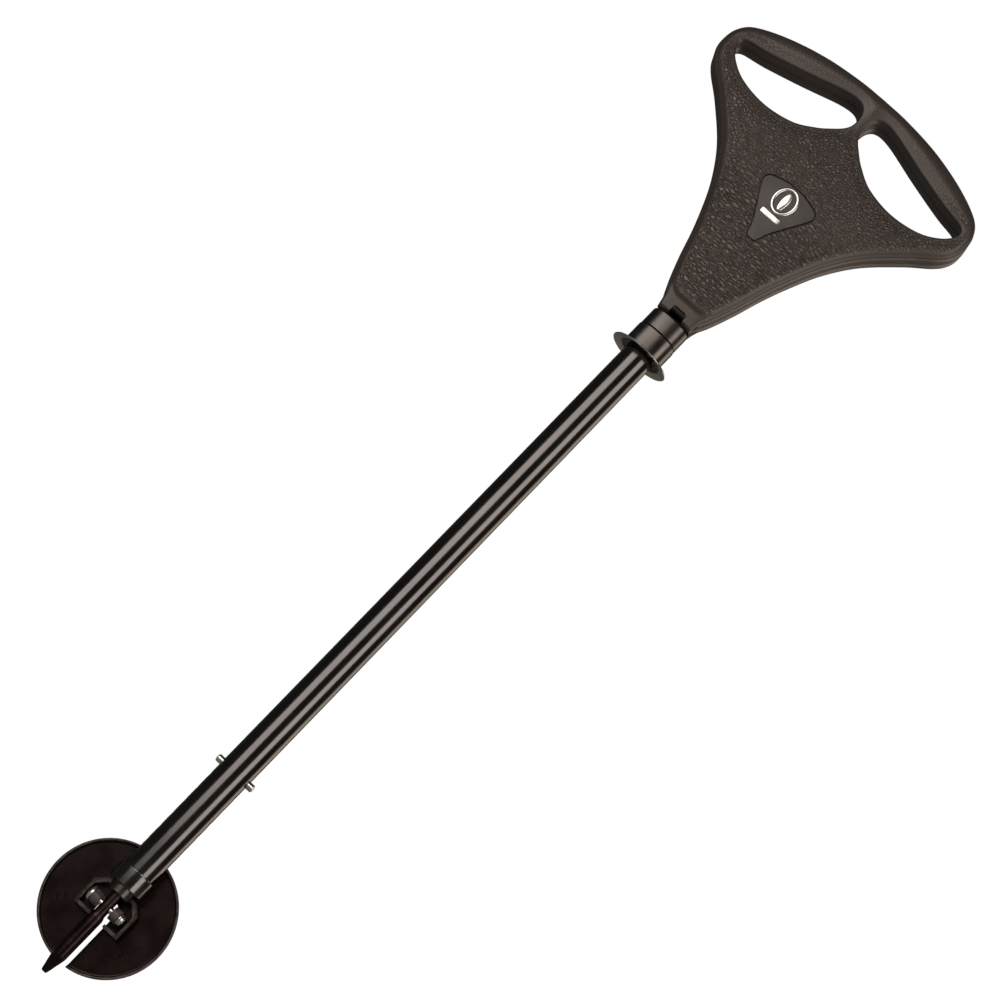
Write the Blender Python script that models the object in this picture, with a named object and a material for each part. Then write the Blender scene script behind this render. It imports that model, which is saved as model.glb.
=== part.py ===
"""Folding shooting stick: a two-leaf seat on a telescopic stem with a spike and a folding ground plate.

Frame: the origin is the spike's tip, +Z runs up the stem to the handle, X runs across the seat leaves,
and -Y is the front. The stick is closed, pushed together, and its ground plate is folded up.
"""

from math import asin, cos, pi, sin

import bmesh
import bpy
from mathutils import Matrix, Vector
from mathutils.geometry import tessellate_polygon

MM = 0.001

# Stations along the stem, from the spike's tip
PLATE_AXIS_Z = 61.6 * MM
PLUG_Z = 73.2 * MM
COLLAR_Z = 80.2 * MM
COLLAR_TOP_Z = 93.7 * MM
BUTTON_Z = 191.0 * MM
GUARD_Z = 622.0 * MM
HEAD_TOP_Z = 657.2 * MM

# Stem
GAP = 0.3 * MM
TUBE_R = 12.7 * MM
TUBE_WALL = 1.4 * MM
INNER_R = TUBE_R - TUBE_WALL - GAP
INNER_WALL = 1.2 * MM
INNER_TOP_Z = 380.0 * MM
COLLAR_R = 14.8 * MM
PLUG_R = 9.5 * MM
HOLE_PITCH = 12.7 * MM
HOLE_COUNT = 7
HOLE_R = 3.4 * MM
BUTTON_R = 3.0 * MM
BUTTON_END = 17.7 * MM
BUTTON_FOOT = 6.2 * MM
PIN_R = 2.0 * MM
PIN_FIT = 0.1 * MM
COLLAR_LIP = 0.9 * MM
COLLAR_EDGE = 0.7 * MM
PLUG_TOP_Z = COLLAR_TOP_Z + 12.0 * MM
PLUG_EDGE = 0.8 * MM
PLUG_PIN_Z = COLLAR_TOP_Z + 5.0 * MM
GUIDE_BORE_R = 3.0 * MM
GUIDE_DEPTH = 10.0 * MM
GUIDE_FLANGE = 3.6 * MM
BUTTON_FOOT_R = 4.2 * MM
BUTTON_FOOT_H = 1.8 * MM
BUTTON_DOME = 1.2 * MM
SPRING_R = 2.6 * MM
SPRING_WIRE_R = 0.45 * MM
SPRING_TURNS = 3

# Spike and ground plate
SPIKE_R = 5.65 * MM
SPIKE_NECK_R = 4.5 * MM
SPIKE_TAPER_Z = 15.0 * MM
SPIKE_TIP_R = 2.5 * MM
SPIKE_NECK_Z = 52.0 * MM
PLATE_R = 50.0 * MM
PLATE_FACE_Y = 15.2 * MM
PLATE_SOLE_Y = 17.2 * MM
PLATE_RIM_Y = 13.2 * MM
PLATE_RIM_WIDTH = 2.0 * MM
PLATE_SLOT = 7.1 * MM
BOSS_HALF_WIDTH = 21.0 * MM
BOSS_TOP = 16.2 * MM
BOSS_BOTTOM = -12.0 * MM
BOSS_FRONT_Y = 5.0 * MM
BOSS_WALL = 2.6 * MM
BARREL_R = 5.4 * MM
BARREL_INNER = 6.1 * MM
BARREL_OUTER = 12.6 * MM
BARREL_WEB_HALF = 4.1 * MM
BOLT_R = 2.5 * MM
BOLT_HEAD_R = 6.0 * MM
BOLT_HEAD_H = 3.8 * MM
WASHER_R = 5.0 * MM
WASHER_H = 0.9 * MM
NUT_R = 4.2 * MM
NUT_H = 2.1 * MM

# Guard and head
GUARD_R = 25.6 * MM
GUARD_FLAT_R = 18.0 * MM
GUARD_WALL = 1.2 * MM
HEAD_HALF_WIDTH = 16.6 * MM
HEAD_HALF_DEPTH = 15.0 * MM
HEAD_CORNER_R = 11.5 * MM
COLLAR_STEP = 0.4 * MM
SPIGOT_LOW_Z = GUARD_Z - 25.0 * MM
HEAD_PIN_Z = GUARD_Z + 9.0 * MM
HEAD_SPLIT_Z = 641.2 * MM
TONGUE_HALF = 6.0 * MM
LEAF_PIN_Y = 7.0 * MM
LEAF_PIN_Z = 664.5 * MM
LEAF_PIN_R = 2.5 * MM
LEAF_PIN_HALF = 15.2 * MM
TONGUE_R = 5.0 * MM

# Leaves, measured from the leaf's own hinge axis: towards the other leaf, and outwards
KNUCKLE_R = 6.6 * MM
LEAF_INNER = 6.6 * MM
LEAF_OUTER = 6.9 * MM
CUSHION_OUTER = 9.2 * MM
COVER_FIT = 0.992
COVER_DEPTH = 2.4 * MM
SCREW_R = 1.3 * MM
SCREW_HEAD_R = 2.8 * MM
SCREW_LENGTH = 8.1 * MM
POST_R = 3.6 * MM
BADGE_DEPTH = 1.7 * MM

# Heights over the spike's tip, in millimetres: lower end, end of the sides, crown at the middle
CUSHION_SPAN = (673, 818, 846)
RECESS_SPAN = (676, 816, 838)
POCKET_SPAN = (684, 810, 830)
# The cover's screws as (x, height over the spike's tip), in millimetres
SCREW_PLACES = ((-11, 694), (11, 694), (-58, 800), (58, 800))

# Half of a leaf's outline as (half width, height over the spike's tip), bottom to top
LEAF_OUTLINE = [
    (15.5, 657.9), (17.6, 667.0), (22.6, 678.0), (29.6, 697.5), (36.8, 721.0), (45.9, 745.0),
    (57.0, 769.0), (73.2, 793.0), (97.0, 817.0), (114.5, 832.0), (121.6, 842.0), (123.2, 853.0),
    (121.0, 865.0), (112.0, 876.2), (88.0, 887.4), (56.0, 896.2), (24.0, 900.3), (0.0, 901.0),
]
# Finger slot on the +X side, anticlockwise from the web
SLOT_OUTLINE = [
    (3.8, 870.0), (6.5, 862.0), (14.0, 854.0), (24.0, 845.8), (40.0, 837.0), (64.0, 833.0),
    (88.0, 836.4), (104.0, 845.0), (111.6, 855.0), (109.0, 862.0), (88.0, 866.4), (56.0, 875.0),
    (26.0, 884.0), (12.0, 885.2), (5.5, 880.0),
]
# Half of the badge's outline, bottom to top
BADGE_OUTLINE = [
    (0.0, 743.0), (3.6, 744.0), (9.5, 758.0), (21.0, 778.0), (25.5, 787.0), (21.0, 794.0), (9.0, 797.2),
    (0.0, 797.8),
]
RING_Z = 783.5 * MM
RING_OUTER = (10.2 * MM, 12.4 * MM)
RING_INNER = (8.0 * MM, 10.2 * MM)


def material(name, color, roughness, metallic=0.0):
    """A Principled material, made once."""
    made = bpy.data.materials.get(name)
    if made:
        return made
    made = bpy.data.materials.new(name)
    made.use_nodes = True
    shader = made.node_tree.nodes["Principled BSDF"]
    shader.inputs["Base Color"].default_value = (*color, 1.0)
    shader.inputs["Roughness"].default_value = roughness
    shader.inputs["Metallic"].default_value = metallic
    return made


def black_tube():
    return material("black_anodised", (0.012, 0.012, 0.013), 0.22, 0.6)


def bright_metal():
    return material("bright_metal", (0.62, 0.62, 0.60), 0.25, 1.0)


def dark_casting():
    return material("dark_casting", (0.05, 0.048, 0.047), 0.4, 0.3)


def leaf_plastic():
    return material("leaf_plastic", (0.05, 0.045, 0.043), 0.5)


def finished(bm, name):
    """A mesh from bm with its faces turned outwards and its round faces smooth."""
    bmesh.ops.remove_doubles(bm, verts=bm.verts, dist=1e-6)
    bmesh.ops.recalc_face_normals(bm, faces=bm.faces)
    mesh = bpy.data.meshes.new(name)
    bm.to_mesh(mesh)
    bm.free()
    mesh.shade_smooth()
    mesh.set_sharp_from_angle(angle=0.6)
    return mesh


def place(name, mesh, finish, location=(0, 0, 0), turn=(0, 0, 0), parent=None):
    """Put a mesh in the scene as a named object."""
    item = bpy.data.objects.new(name, mesh)
    if finish:
        mesh.materials.clear()
        mesh.materials.append(finish)
    item.location = location
    item.rotation_euler = turn
    item.parent = parent
    bpy.context.scene.collection.objects.link(item)
    return item


def pivot(name, location, turn=(0, 0, 0), parent=None):
    """An empty on a joint's axis."""
    return place(name, None, None, location, turn, parent)


def boolean(item, tool, operation):
    """Cut or join item with tool, which stays out of the model."""
    tool.hide_render = True
    tool.display_type = "WIRE"
    step = item.modifiers.new(tool.name, "BOOLEAN")
    step.object = tool
    step.operation = operation
    step.solver = "EXACT"
    step.use_self = operation == "DIFFERENCE"


def cut(item, tool):
    """Cut a tool out of item."""
    boolean(item, tool, "DIFFERENCE")


def join(item, tool):
    """Join a tool to item."""
    boolean(item, tool, "UNION")


def turned(name, profile, segments=40):
    """A turned mesh about Z. A (radius, height) profile that starts off the axis is closed into a ring."""
    bm = bmesh.new()
    ring_shape = profile[0][0] > 0
    rings = []
    for radius, height in profile:
        if radius == 0:
            rings.append([bm.verts.new((0, 0, height))] * segments)
            continue
        angles = [2 * pi * i / segments for i in range(segments)]
        rings.append([bm.verts.new((radius * cos(a), radius * sin(a), height)) for a in angles])
    pairs = list(zip(rings, rings[1:] + rings[:1] if ring_shape else rings[1:]))
    for low, high in pairs:
        for i in range(segments):
            j = (i + 1) % segments
            corners = list(dict.fromkeys([low[i], low[j], high[j], high[i]]))
            if len(corners) > 2:
                bm.faces.new(corners)
    return finished(bm, name)


def tube_profile(outer, inner, low, high, chamfer=0.3 * MM):
    """A plain ring with its outer edges broken."""
    return [
        (inner, low), (outer - chamfer, low), (outer, low + chamfer), (outer, high - chamfer),
        (outer - chamfer, high), (inner, high),
    ]


def rod_profile(radius, low, high, chamfer=0.3 * MM):
    """A plain rod with both ends broken."""
    return [
        (0, low), (radius - chamfer, low), (radius, low + chamfer), (radius, high - chamfer),
        (radius - chamfer, high), (0, high),
    ]


def loft(name, levels):
    """A closed mesh through levels, each a list of loops: the outer one, then any holes."""
    bm = bmesh.new()
    made = [[[bm.verts.new(p) for p in loop] for loop in level] for level in levels]
    for level, above in zip(made, made[1:]):
        for loop, next_loop in zip(level, above):
            for i, vert in enumerate(loop):
                j = (i + 1) % len(loop)
                bm.faces.new((vert, loop[j], next_loop[j], next_loop[i]))
    for level in (made[0], made[-1]):
        verts = [v for loop in level for v in loop]
        for triangle in tessellate_polygon([[v.co for v in loop] for loop in level]):
            bm.faces.new([verts[i] for i in triangle])
    return finished(bm, name)


def box(name, low, high):
    """A plain block between two corners."""
    loops = []
    for z in (low[2], high[2]):
        loops.append([[(low[0], low[1], z), (high[0], low[1], z), (high[0], high[1], z),
                       (low[0], high[1], z)]])
    return loft(name, loops)


def smooth_curve(points, steps, closed=False):
    """Points along a Catmull-Rom curve through the given ones."""
    count = len(points)
    out = []
    for i in range(count if closed else count - 1):
        if closed:
            a, b, c, d = (Vector(points[(i + k) % count]) for k in (-1, 0, 1, 2))
        else:
            a, b, c, d = (Vector(points[min(max(i + k, 0), count - 1)]) for k in (-1, 0, 1, 2))
        for step in range(steps):
            t = step / steps
            out.append(0.5 * (2 * b + (c - a) * t + (2 * a - 5 * b + 4 * c - d) * t * t
                              + (3 * b - a - 3 * c + d) * t ** 3))
    if not closed:
        out.append(Vector(points[-1]))
    return out


def inset(loop, distance):
    """Move a loop inwards: its points lie anticlockwise, and a negative distance moves them outwards."""
    out = []
    for i, point in enumerate(loop):
        along = (loop[(i + 1) % len(loop)] - loop[i - 1]).normalized()
        out.append(point + Vector((-along.y, along.x)) * distance)
    return out


def rounded_rectangle(half_x, half_y, radius, steps=6):
    """Anticlockwise loop of a rectangle with round corners."""
    out = []
    for corner, (sx, sy) in enumerate(((1, 1), (-1, 1), (-1, -1), (1, -1))):
        for step in range(steps + 1):
            a = (corner + step / steps) * pi / 2
            out.append(Vector((sx * (half_x - radius) + radius * cos(a),
                               sy * (half_y - radius) + radius * sin(a))))
    return out


def circle(radius, x=0.0, y=0.0, segments=20):
    """Anticlockwise loop of a circle, turned a little so that no corner lies on an axis."""
    angles = [2 * pi * (i + 0.37) / segments for i in range(segments)]
    return [Vector((x + radius * cos(a), y + radius * sin(a))) for a in angles]


def upright(loop, z):
    """A loop in the XY plane at height z."""
    return [(p.x, p.y, z) for p in loop]


def facing(loop, y):
    """A loop in the XZ plane at depth y."""
    return [(p.x, y, p.y) for p in loop]


def rod_along_x(name, radius, low, high, segments=20):
    """A plain rod mesh along X, for pins and bores."""
    levels = [[[(x, p.x, p.y) for p in circle(radius, segments=segments)]] for x in (low, high)]
    return loft(name, levels)


def rod_along_y(name, radius, low, high, x=0.0, z=0.0, segments=20):
    """A plain rod mesh along Y, for screws' holes."""
    return loft(name, [[facing(circle(radius, x, z, segments), y)] for y in (low, high)])


def build_inner_tube():
    """The bright tube that slides in the stem, with its holes for the buttons and the plug's pin."""
    tube = place("inner_tube", turned("inner_tube", tube_profile(
        INNER_R, INNER_R - INNER_WALL, COLLAR_Z + COLLAR_LIP + GAP, INNER_TOP_Z)), bright_metal())
    cut(tube, place("inner_button_holes", rod_along_x(
        "inner_button_holes", BUTTON_R + GAP, -TUBE_R, TUBE_R), None, (0, 0, BUTTON_Z)))
    cut(tube, place("inner_pin_holes", rod_along_y(
        "inner_pin_holes", PIN_R + PIN_FIT, -TUBE_R, TUBE_R), None, (0, 0, PLUG_PIN_Z)))


def build_guide_plug():
    """The nylon plug in the inner tube's upper end."""
    seat = INNER_TOP_Z + GAP
    shank = INNER_R - INNER_WALL - 0.2 * MM
    flange = INNER_R + 0.1 * MM
    edge = 0.6 * MM
    place("guide_plug", turned("guide_plug", [
        (GUIDE_BORE_R, seat - GUIDE_DEPTH), (shank, seat - GUIDE_DEPTH), (shank, seat), (flange, seat),
        (flange, seat + GUIDE_FLANGE - edge), (flange - edge, seat + GUIDE_FLANGE),
        (GUIDE_BORE_R, seat + GUIDE_FLANGE),
    ]), material("white_nylon", (0.75, 0.74, 0.7), 0.45))


def build_ferrule():
    """The bright collar that ends the stem, the plug in it, and the pin that holds the plug."""
    low, high, edge = COLLAR_Z, COLLAR_TOP_Z, COLLAR_EDGE
    lip = low + COLLAR_LIP
    inner = INNER_R + 0.2 * MM
    place("ferrule_collar", turned("ferrule_collar", [
        (PLUG_R + GAP, low), (COLLAR_R - edge, low), (COLLAR_R, low + edge), (COLLAR_R, high - edge),
        (COLLAR_R - edge, high), (inner, high), (inner, lip), (PLUG_R + GAP, lip),
    ], 48), bright_metal())
    bore = SPIKE_NECK_R + 0.1 * MM
    socket_top = high - 3 * MM
    plug = place("spike_plug", turned("spike_plug", [
        (0, socket_top), (bore, socket_top), (bore, PLUG_Z), (PLUG_R - PLUG_EDGE, PLUG_Z),
        (PLUG_R, PLUG_Z + PLUG_EDGE), (PLUG_R, PLUG_TOP_Z - PLUG_EDGE), (PLUG_R - PLUG_EDGE, PLUG_TOP_Z),
        (0, PLUG_TOP_Z),
    ]), dark_casting())
    cut(plug, place("plug_pin_bore", rod_along_y("plug_pin_bore", PIN_R + PIN_FIT, -TUBE_R, TUBE_R),
                    None, (0, 0, PLUG_PIN_Z)))
    reach = INNER_R - 0.2 * MM
    place("plug_pin", turned("plug_pin", rod_profile(PIN_R, -reach, reach), 20),
          bright_metal(), (0, 0, PLUG_PIN_Z), (pi / 2, 0, 0))


def build_spike():
    """The spike that goes into the ground, with its neck in the plug."""
    blunt = 0.6 * MM
    neck_end = SPIKE_NECK_Z + 3.0 * MM
    top = COLLAR_TOP_Z - 3.4 * MM
    spike = place("spike", turned("spike", [
        (0, 0), (SPIKE_TIP_R - blunt, 0), (SPIKE_TIP_R, blunt + 0.2 * MM), (SPIKE_R, SPIKE_TAPER_Z),
        (SPIKE_R, SPIKE_NECK_Z), (SPIKE_NECK_R, neck_end), (SPIKE_NECK_R, top), (0, top),
    ], 28), dark_casting())
    cut(spike, place("bolt_bore", rod_along_x("bolt_bore", BOLT_R + PIN_FIT, -TUBE_R, TUBE_R),
                     None, (0, 0, PLATE_AXIS_Z)))


def build_pivot_bolt():
    """The bolt that the ground plate folds on, with its washer and round nut."""
    side = BARREL_OUTER + GAP
    skirt = 1.0 * MM
    edge = 0.5 * MM
    nut = side + WASHER_H + 0.2 * MM
    end = nut + NUT_H + 0.4 * MM
    dome = [(BOLT_HEAD_R * cos(a), -side - skirt - (BOLT_HEAD_H - skirt) * sin(a))
            for a in [i * pi / 2 / 5 for i in range(5)]]
    profile = [(0, -side - BOLT_HEAD_H)] + dome[::-1] + [
        (BOLT_HEAD_R, -side), (BOLT_R, -side), (BOLT_R, end - edge), (BOLT_R - edge, end), (0, end)]
    across = (0, pi / 2, 0)
    place("pivot_bolt", turned("pivot_bolt", profile, 24), bright_metal(), (0, 0, PLATE_AXIS_Z), across)
    place("pivot_washer", turned("pivot_washer", tube_profile(
        WASHER_R, BOLT_R + 0.2 * MM, side, side + WASHER_H, 0.2 * MM), 24),
        bright_metal(), (0, 0, PLATE_AXIS_Z), across)
    place("pivot_nut", turned("pivot_nut", tube_profile(
        NUT_R, BOLT_R + PIN_FIT, nut, nut + NUT_H, 0.4 * MM), 24),
        bright_metal(), (0, 0, PLATE_AXIS_Z), across)


def build_ground_plate():
    """A dished disc with a slot for the spike and a walled boss that carries the pivot barrels."""
    hinge = pivot("ground_plate_axis", (0, 0, PLATE_AXIS_Z))
    rim_inner = PLATE_R - PLATE_RIM_WIDTH
    edge = 0.5 * MM
    disc = turned("ground_plate", [
        (0, -PLATE_SOLE_Y), (PLATE_R - edge, -PLATE_SOLE_Y), (PLATE_R, -PLATE_SOLE_Y + edge),
        (PLATE_R, -PLATE_RIM_Y - edge), (PLATE_R - edge, -PLATE_RIM_Y), (rim_inner + edge, -PLATE_RIM_Y),
        (rim_inner, -PLATE_RIM_Y - edge), (rim_inner, -PLATE_FACE_Y), (0, -PLATE_FACE_Y),
    ], 72)
    disc.transform(Matrix.Rotation(pi / 2, 4, "X"))
    plate = place("ground_plate", disc, material("plate_plastic", (0.02, 0.016, 0.015), 0.42), parent=hinge)

    chamfer = 7.0 * MM
    outer = [Vector(p) for p in (
        (-BOSS_HALF_WIDTH, BOSS_BOTTOM), (BOSS_HALF_WIDTH, BOSS_BOTTOM),
        (BOSS_HALF_WIDTH, BOSS_TOP - chamfer), (BOSS_HALF_WIDTH - chamfer, BOSS_TOP),
        (chamfer - BOSS_HALF_WIDTH, BOSS_TOP), (-BOSS_HALF_WIDTH, BOSS_TOP - chamfer))]
    inner = [p + Vector((-BOSS_WALL if p.x > 0 else BOSS_WALL, -BOSS_WALL if p.y > 0 else BOSS_WALL))
             for p in outer]
    walls = loft("boss_walls", [[facing(outer, y), facing(inner, y)]
                                for y in (BOSS_FRONT_Y, PLATE_FACE_Y + 1.0 * MM)])
    join(plate, place("boss_walls", walls, None, parent=hinge))
    for side in (-1, 1):
        name = f"barrel_{'left' if side < 0 else 'right'}"
        ends = sorted((side * BARREL_INNER, side * BARREL_OUTER))
        join(plate, place(name, rod_along_x(name, BARREL_R, *ends, 28), None, parent=hinge))
        web = box(name + "_web", (ends[0], 3.2 * MM, -BARREL_WEB_HALF),
                  (ends[1], PLATE_FACE_Y + 1.0 * MM, BARREL_WEB_HALF))
        join(plate, place(name + "_web", web, None, parent=hinge))
    cut(plate, place("plate_bolt_bore", rod_along_x(
        "plate_bolt_bore", BOLT_R + GAP, -HEAD_HALF_DEPTH, HEAD_HALF_DEPTH), None, parent=hinge))
    slot = [Vector((-PLATE_SLOT, -2 * PLATE_R)), Vector((PLATE_SLOT, -2 * PLATE_R))]
    slot += [Vector((PLATE_SLOT * cos(a), PLATE_SLOT * sin(a))) for a in [i * pi / 10 for i in range(11)]]
    cut(plate, place("plate_slot", loft("plate_slot", [
        [facing(slot, y)] for y in (BARREL_R + GAP, 2 * PLATE_SOLE_Y)]), None, parent=hinge))
    cut(plate, place("wall_slot", box(
        "wall_slot", (-PLATE_SLOT, 0, 2 * BOSS_BOTTOM),
        (PLATE_SLOT, BARREL_R + GAP + 1 * MM, -BARREL_R - 1 * MM)),
        None, parent=hinge))
    cut(plate, place("plug_clearance", turned("plug_clearance", rod_profile(
        PLUG_R + 0.8 * MM, 9.0 * MM, 30.0 * MM), 32), None, parent=hinge))


def build_buttons():
    """Two snap buttons that point outwards through both tubes, and the spring between them."""
    foot_top = BUTTON_FOOT + BUTTON_FOOT_H
    profile = [
        (0, BUTTON_FOOT), (BUTTON_FOOT_R, BUTTON_FOOT), (BUTTON_FOOT_R, foot_top), (BUTTON_R, foot_top),
        (BUTTON_R, BUTTON_END - BUTTON_DOME), (BUTTON_R * 0.8, BUTTON_END - 0.4 * BUTTON_DOME),
        (BUTTON_R * 0.45, BUTTON_END), (0, BUTTON_END),
    ]
    mesh = turned("snap_button", profile, 24)
    for name, turn in (("button_right", pi / 2), ("button_left", -pi / 2)):
        place(name, mesh, bright_metal(), (0, 0, BUTTON_Z), (0, turn, 0))

    half = BUTTON_FOOT - GAP - SPRING_WIRE_R
    curve = bpy.data.curves.new("button_spring", "CURVE")
    curve.dimensions = "3D"
    curve.bevel_depth = SPRING_WIRE_R
    curve.bevel_resolution = 1
    curve.use_fill_caps = True
    spline = curve.splines.new("POLY")
    per_turn = 14
    count = SPRING_TURNS * per_turn + 1
    spline.points.add(count - 1)
    for i, point in enumerate(spline.points):
        a = 2 * pi * i / per_turn
        x = -half + 2 * half * i / (count - 1)
        point.co = (x, SPRING_R * cos(a), SPRING_R * sin(a), 1)
    curve.materials.append(bright_metal())
    spring = bpy.data.objects.new("button_spring", curve)
    spring.location = (0, 0, BUTTON_Z)
    bpy.context.scene.collection.objects.link(spring)


def build_outer_tube():
    """The black stem tube with its row of button holes."""
    low = COLLAR_TOP_Z + GAP
    high = HEAD_SPLIT_Z - GAP
    tube = place("outer_tube", turned("outer_tube", tube_profile(
        TUBE_R, TUBE_R - TUBE_WALL, low, high), 48), black_tube())
    for i in range(HOLE_COUNT):
        name = f"button_hole_{i + 1}"
        cut(tube, place(name, rod_along_x(name, HOLE_R, -2 * TUBE_R, 2 * TUBE_R), None,
                        (0, 0, BUTTON_Z - i * HOLE_PITCH)))
    cut(tube, place("head_pin_holes", rod_along_x(
        "head_pin_holes", PIN_R + PIN_FIT, -2 * TUBE_R, 2 * TUBE_R), None, (0, 0, HEAD_PIN_Z)))


def build_guard():
    """The thin dished disc under the head."""
    bore = TUBE_R + GAP
    rim = GUARD_R - 0.5 * MM
    flat = GUARD_Z + 0.6 * MM
    place("hand_guard", turned("hand_guard", [
        (bore, flat), (GUARD_FLAT_R, flat), (rim, flat - 1.8 * MM), (GUARD_R, flat - 1.2 * MM),
        (rim, flat - 0.4 * MM), (GUARD_FLAT_R, flat + GUARD_WALL), (bore, flat + GUARD_WALL),
    ], 56), material("guard_metal", (0.35, 0.33, 0.31), 0.35, 0.8))


def build_head():
    """The collar on the tube, the casting above it with its tongue and spigot, and their pins."""
    low = GUARD_Z + 2.1 * MM
    loop = rounded_rectangle(HEAD_HALF_WIDTH + COLLAR_STEP, HEAD_HALF_DEPTH + COLLAR_STEP,
                             HEAD_CORNER_R + 0.5 * MM)
    bore = circle(TUBE_R + GAP, segments=28)
    collar = [(low, 0.5), (low + 0.5 * MM, 0), (HEAD_SPLIT_Z - 0.9 * MM, 0), (HEAD_SPLIT_Z - GAP, 0.6)]
    place("head_collar", loft("head_collar", [
        [upright(inset(loop, d * MM), z), upright(bore, z)] for z, d in collar]), dark_casting())

    loop = rounded_rectangle(HEAD_HALF_WIDTH, HEAD_HALF_DEPTH, HEAD_CORNER_R)
    block = [(HEAD_SPLIT_Z, 0.5), (HEAD_SPLIT_Z + 0.5 * MM, 0), (HEAD_TOP_Z - 2.6 * MM, 0),
             (HEAD_TOP_Z, 2.6)]
    head = place("hinge_head", loft("hinge_head", [[upright(inset(loop, d * MM), z)] for z, d in block]),
                 dark_casting())
    spigot_r = TUBE_R - TUBE_WALL - 0.2 * MM
    join(head, place("head_spigot", turned("head_spigot", rod_profile(
        spigot_r, SPIGOT_LOW_Z, HEAD_SPLIT_Z + 2 * MM), 36), None))
    arc = [i * pi / 2 / 6 for i in range(7)]
    web = LEAF_PIN_Y
    tongue = [Vector((-web, HEAD_TOP_Z - 8 * MM)), Vector((web, HEAD_TOP_Z - 8 * MM))]
    tongue += [Vector((web, LEAF_PIN_Z - TONGUE_R))]
    tongue += [Vector((web + TONGUE_R * sin(a), LEAF_PIN_Z - TONGUE_R * cos(a))) for a in arc[1:]]
    tongue += [Vector((web + TONGUE_R * cos(a), LEAF_PIN_Z + TONGUE_R * sin(a))) for a in arc[1:]]
    tongue += [Vector((-p.x, p.y)) for p in tongue[:1:-1]]
    levels = [[[(x, p.x, p.y) for p in tongue]] for x in (-TONGUE_HALF, TONGUE_HALF)]
    join(head, place("head_tongue", loft("head_tongue", levels), None))
    for side in (-1, 1):
        name = f"tongue_bore_{side + 2}"
        cut(head, place(name, rod_along_x(name, LEAF_PIN_R + PIN_FIT, -LEAF_PIN_HALF, LEAF_PIN_HALF), None,
                        (0, side * LEAF_PIN_Y, LEAF_PIN_Z)))
    cut(head, place("spigot_bore", rod_along_x("spigot_bore", PIN_R + PIN_FIT, -TUBE_R, TUBE_R), None,
                    (0, 0, HEAD_PIN_Z)))
    reach = TUBE_R - 0.1 * MM
    place("head_pin", turned("head_pin", rod_profile(PIN_R, -reach, reach), 20), bright_metal(),
          (0, 0, HEAD_PIN_Z), (0, pi / 2, 0))
    leaf_pin = turned("leaf_pin", rod_profile(LEAF_PIN_R, -LEAF_PIN_HALF, LEAF_PIN_HALF, 0.6 * MM), 24)
    for name, side in (("front_hinge_pin", -1), ("rear_hinge_pin", 1)):
        place(name, leaf_pin, bright_metal(), (0, side * LEAF_PIN_Y, LEAF_PIN_Z), (0, pi / 2, 0))


def mirrored(half):
    """Close half an outline, given bottom to top on +X, into an anticlockwise loop."""
    return half + [Vector((-p.x, p.y)) for p in reversed(half) if p.x > 1e-9]


def leaf_points(points):
    """Outline points given in millimetres over the spike's tip, moved to the leaf's own hinge axis."""
    return [Vector((x * MM, z * MM - LEAF_PIN_Z)) for x, z in points]


def leaf_half(low, high, distance):
    """The right side of the leaf between two heights over the tip, moved inwards."""
    half = smooth_curve(leaf_points(LEAF_OUTLINE), 3)
    moved = inset(mirrored(half), distance)
    return [new for old, new in zip(half, moved) if low * MM <= old.y + LEAF_PIN_Z <= high * MM]


def body_loop(low, high, top, distance):
    """The leaf's tapered body under the finger slots, moved inwards: top is its crown at the middle."""
    half = leaf_half(low, high, distance)
    corner = half[-1]
    crown = smooth_curve([corner, Vector((corner.x * 0.72, corner.y + 1.0 * MM)),
                          Vector((corner.x * 0.3, top * MM - LEAF_PIN_Z - 9.0 * MM)),
                          Vector((0, top * MM - LEAF_PIN_Z))], 4)
    return mirrored(half + crown[1:])


def leaf_shell_mesh():
    """The moulded shell: outline with two finger slots, rounded edges, facing -Y."""
    outline = mirrored(smooth_curve(leaf_points(LEAF_OUTLINE), 3))
    slot = smooth_curve(leaf_points(SLOT_OUTLINE), 2, closed=True)
    other = [Vector((-p.x, p.y)) for p in reversed(slot)]
    levels = [(LEAF_INNER, 0.8), (LEAF_INNER - 1.0 * MM, 0), (-LEAF_OUTER + 3.6 * MM, 0),
              (-LEAF_OUTER + 1.2 * MM, 1.0), (-LEAF_OUTER, 3.4)]
    made = []
    for y, distance in levels:
        loops = [inset(outline, distance * MM)]
        loops += [inset(hole, -0.5 * distance * MM) for hole in (slot, other)]
        made.append([facing(loop, y) for loop in loops])
    return loft("leaf_shell", made)


def screw_places():
    """Where the cover's screws stand, from the hinge axis."""
    return [Vector((x * MM, z * MM - LEAF_PIN_Z)) for x, z in SCREW_PLACES]


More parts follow.
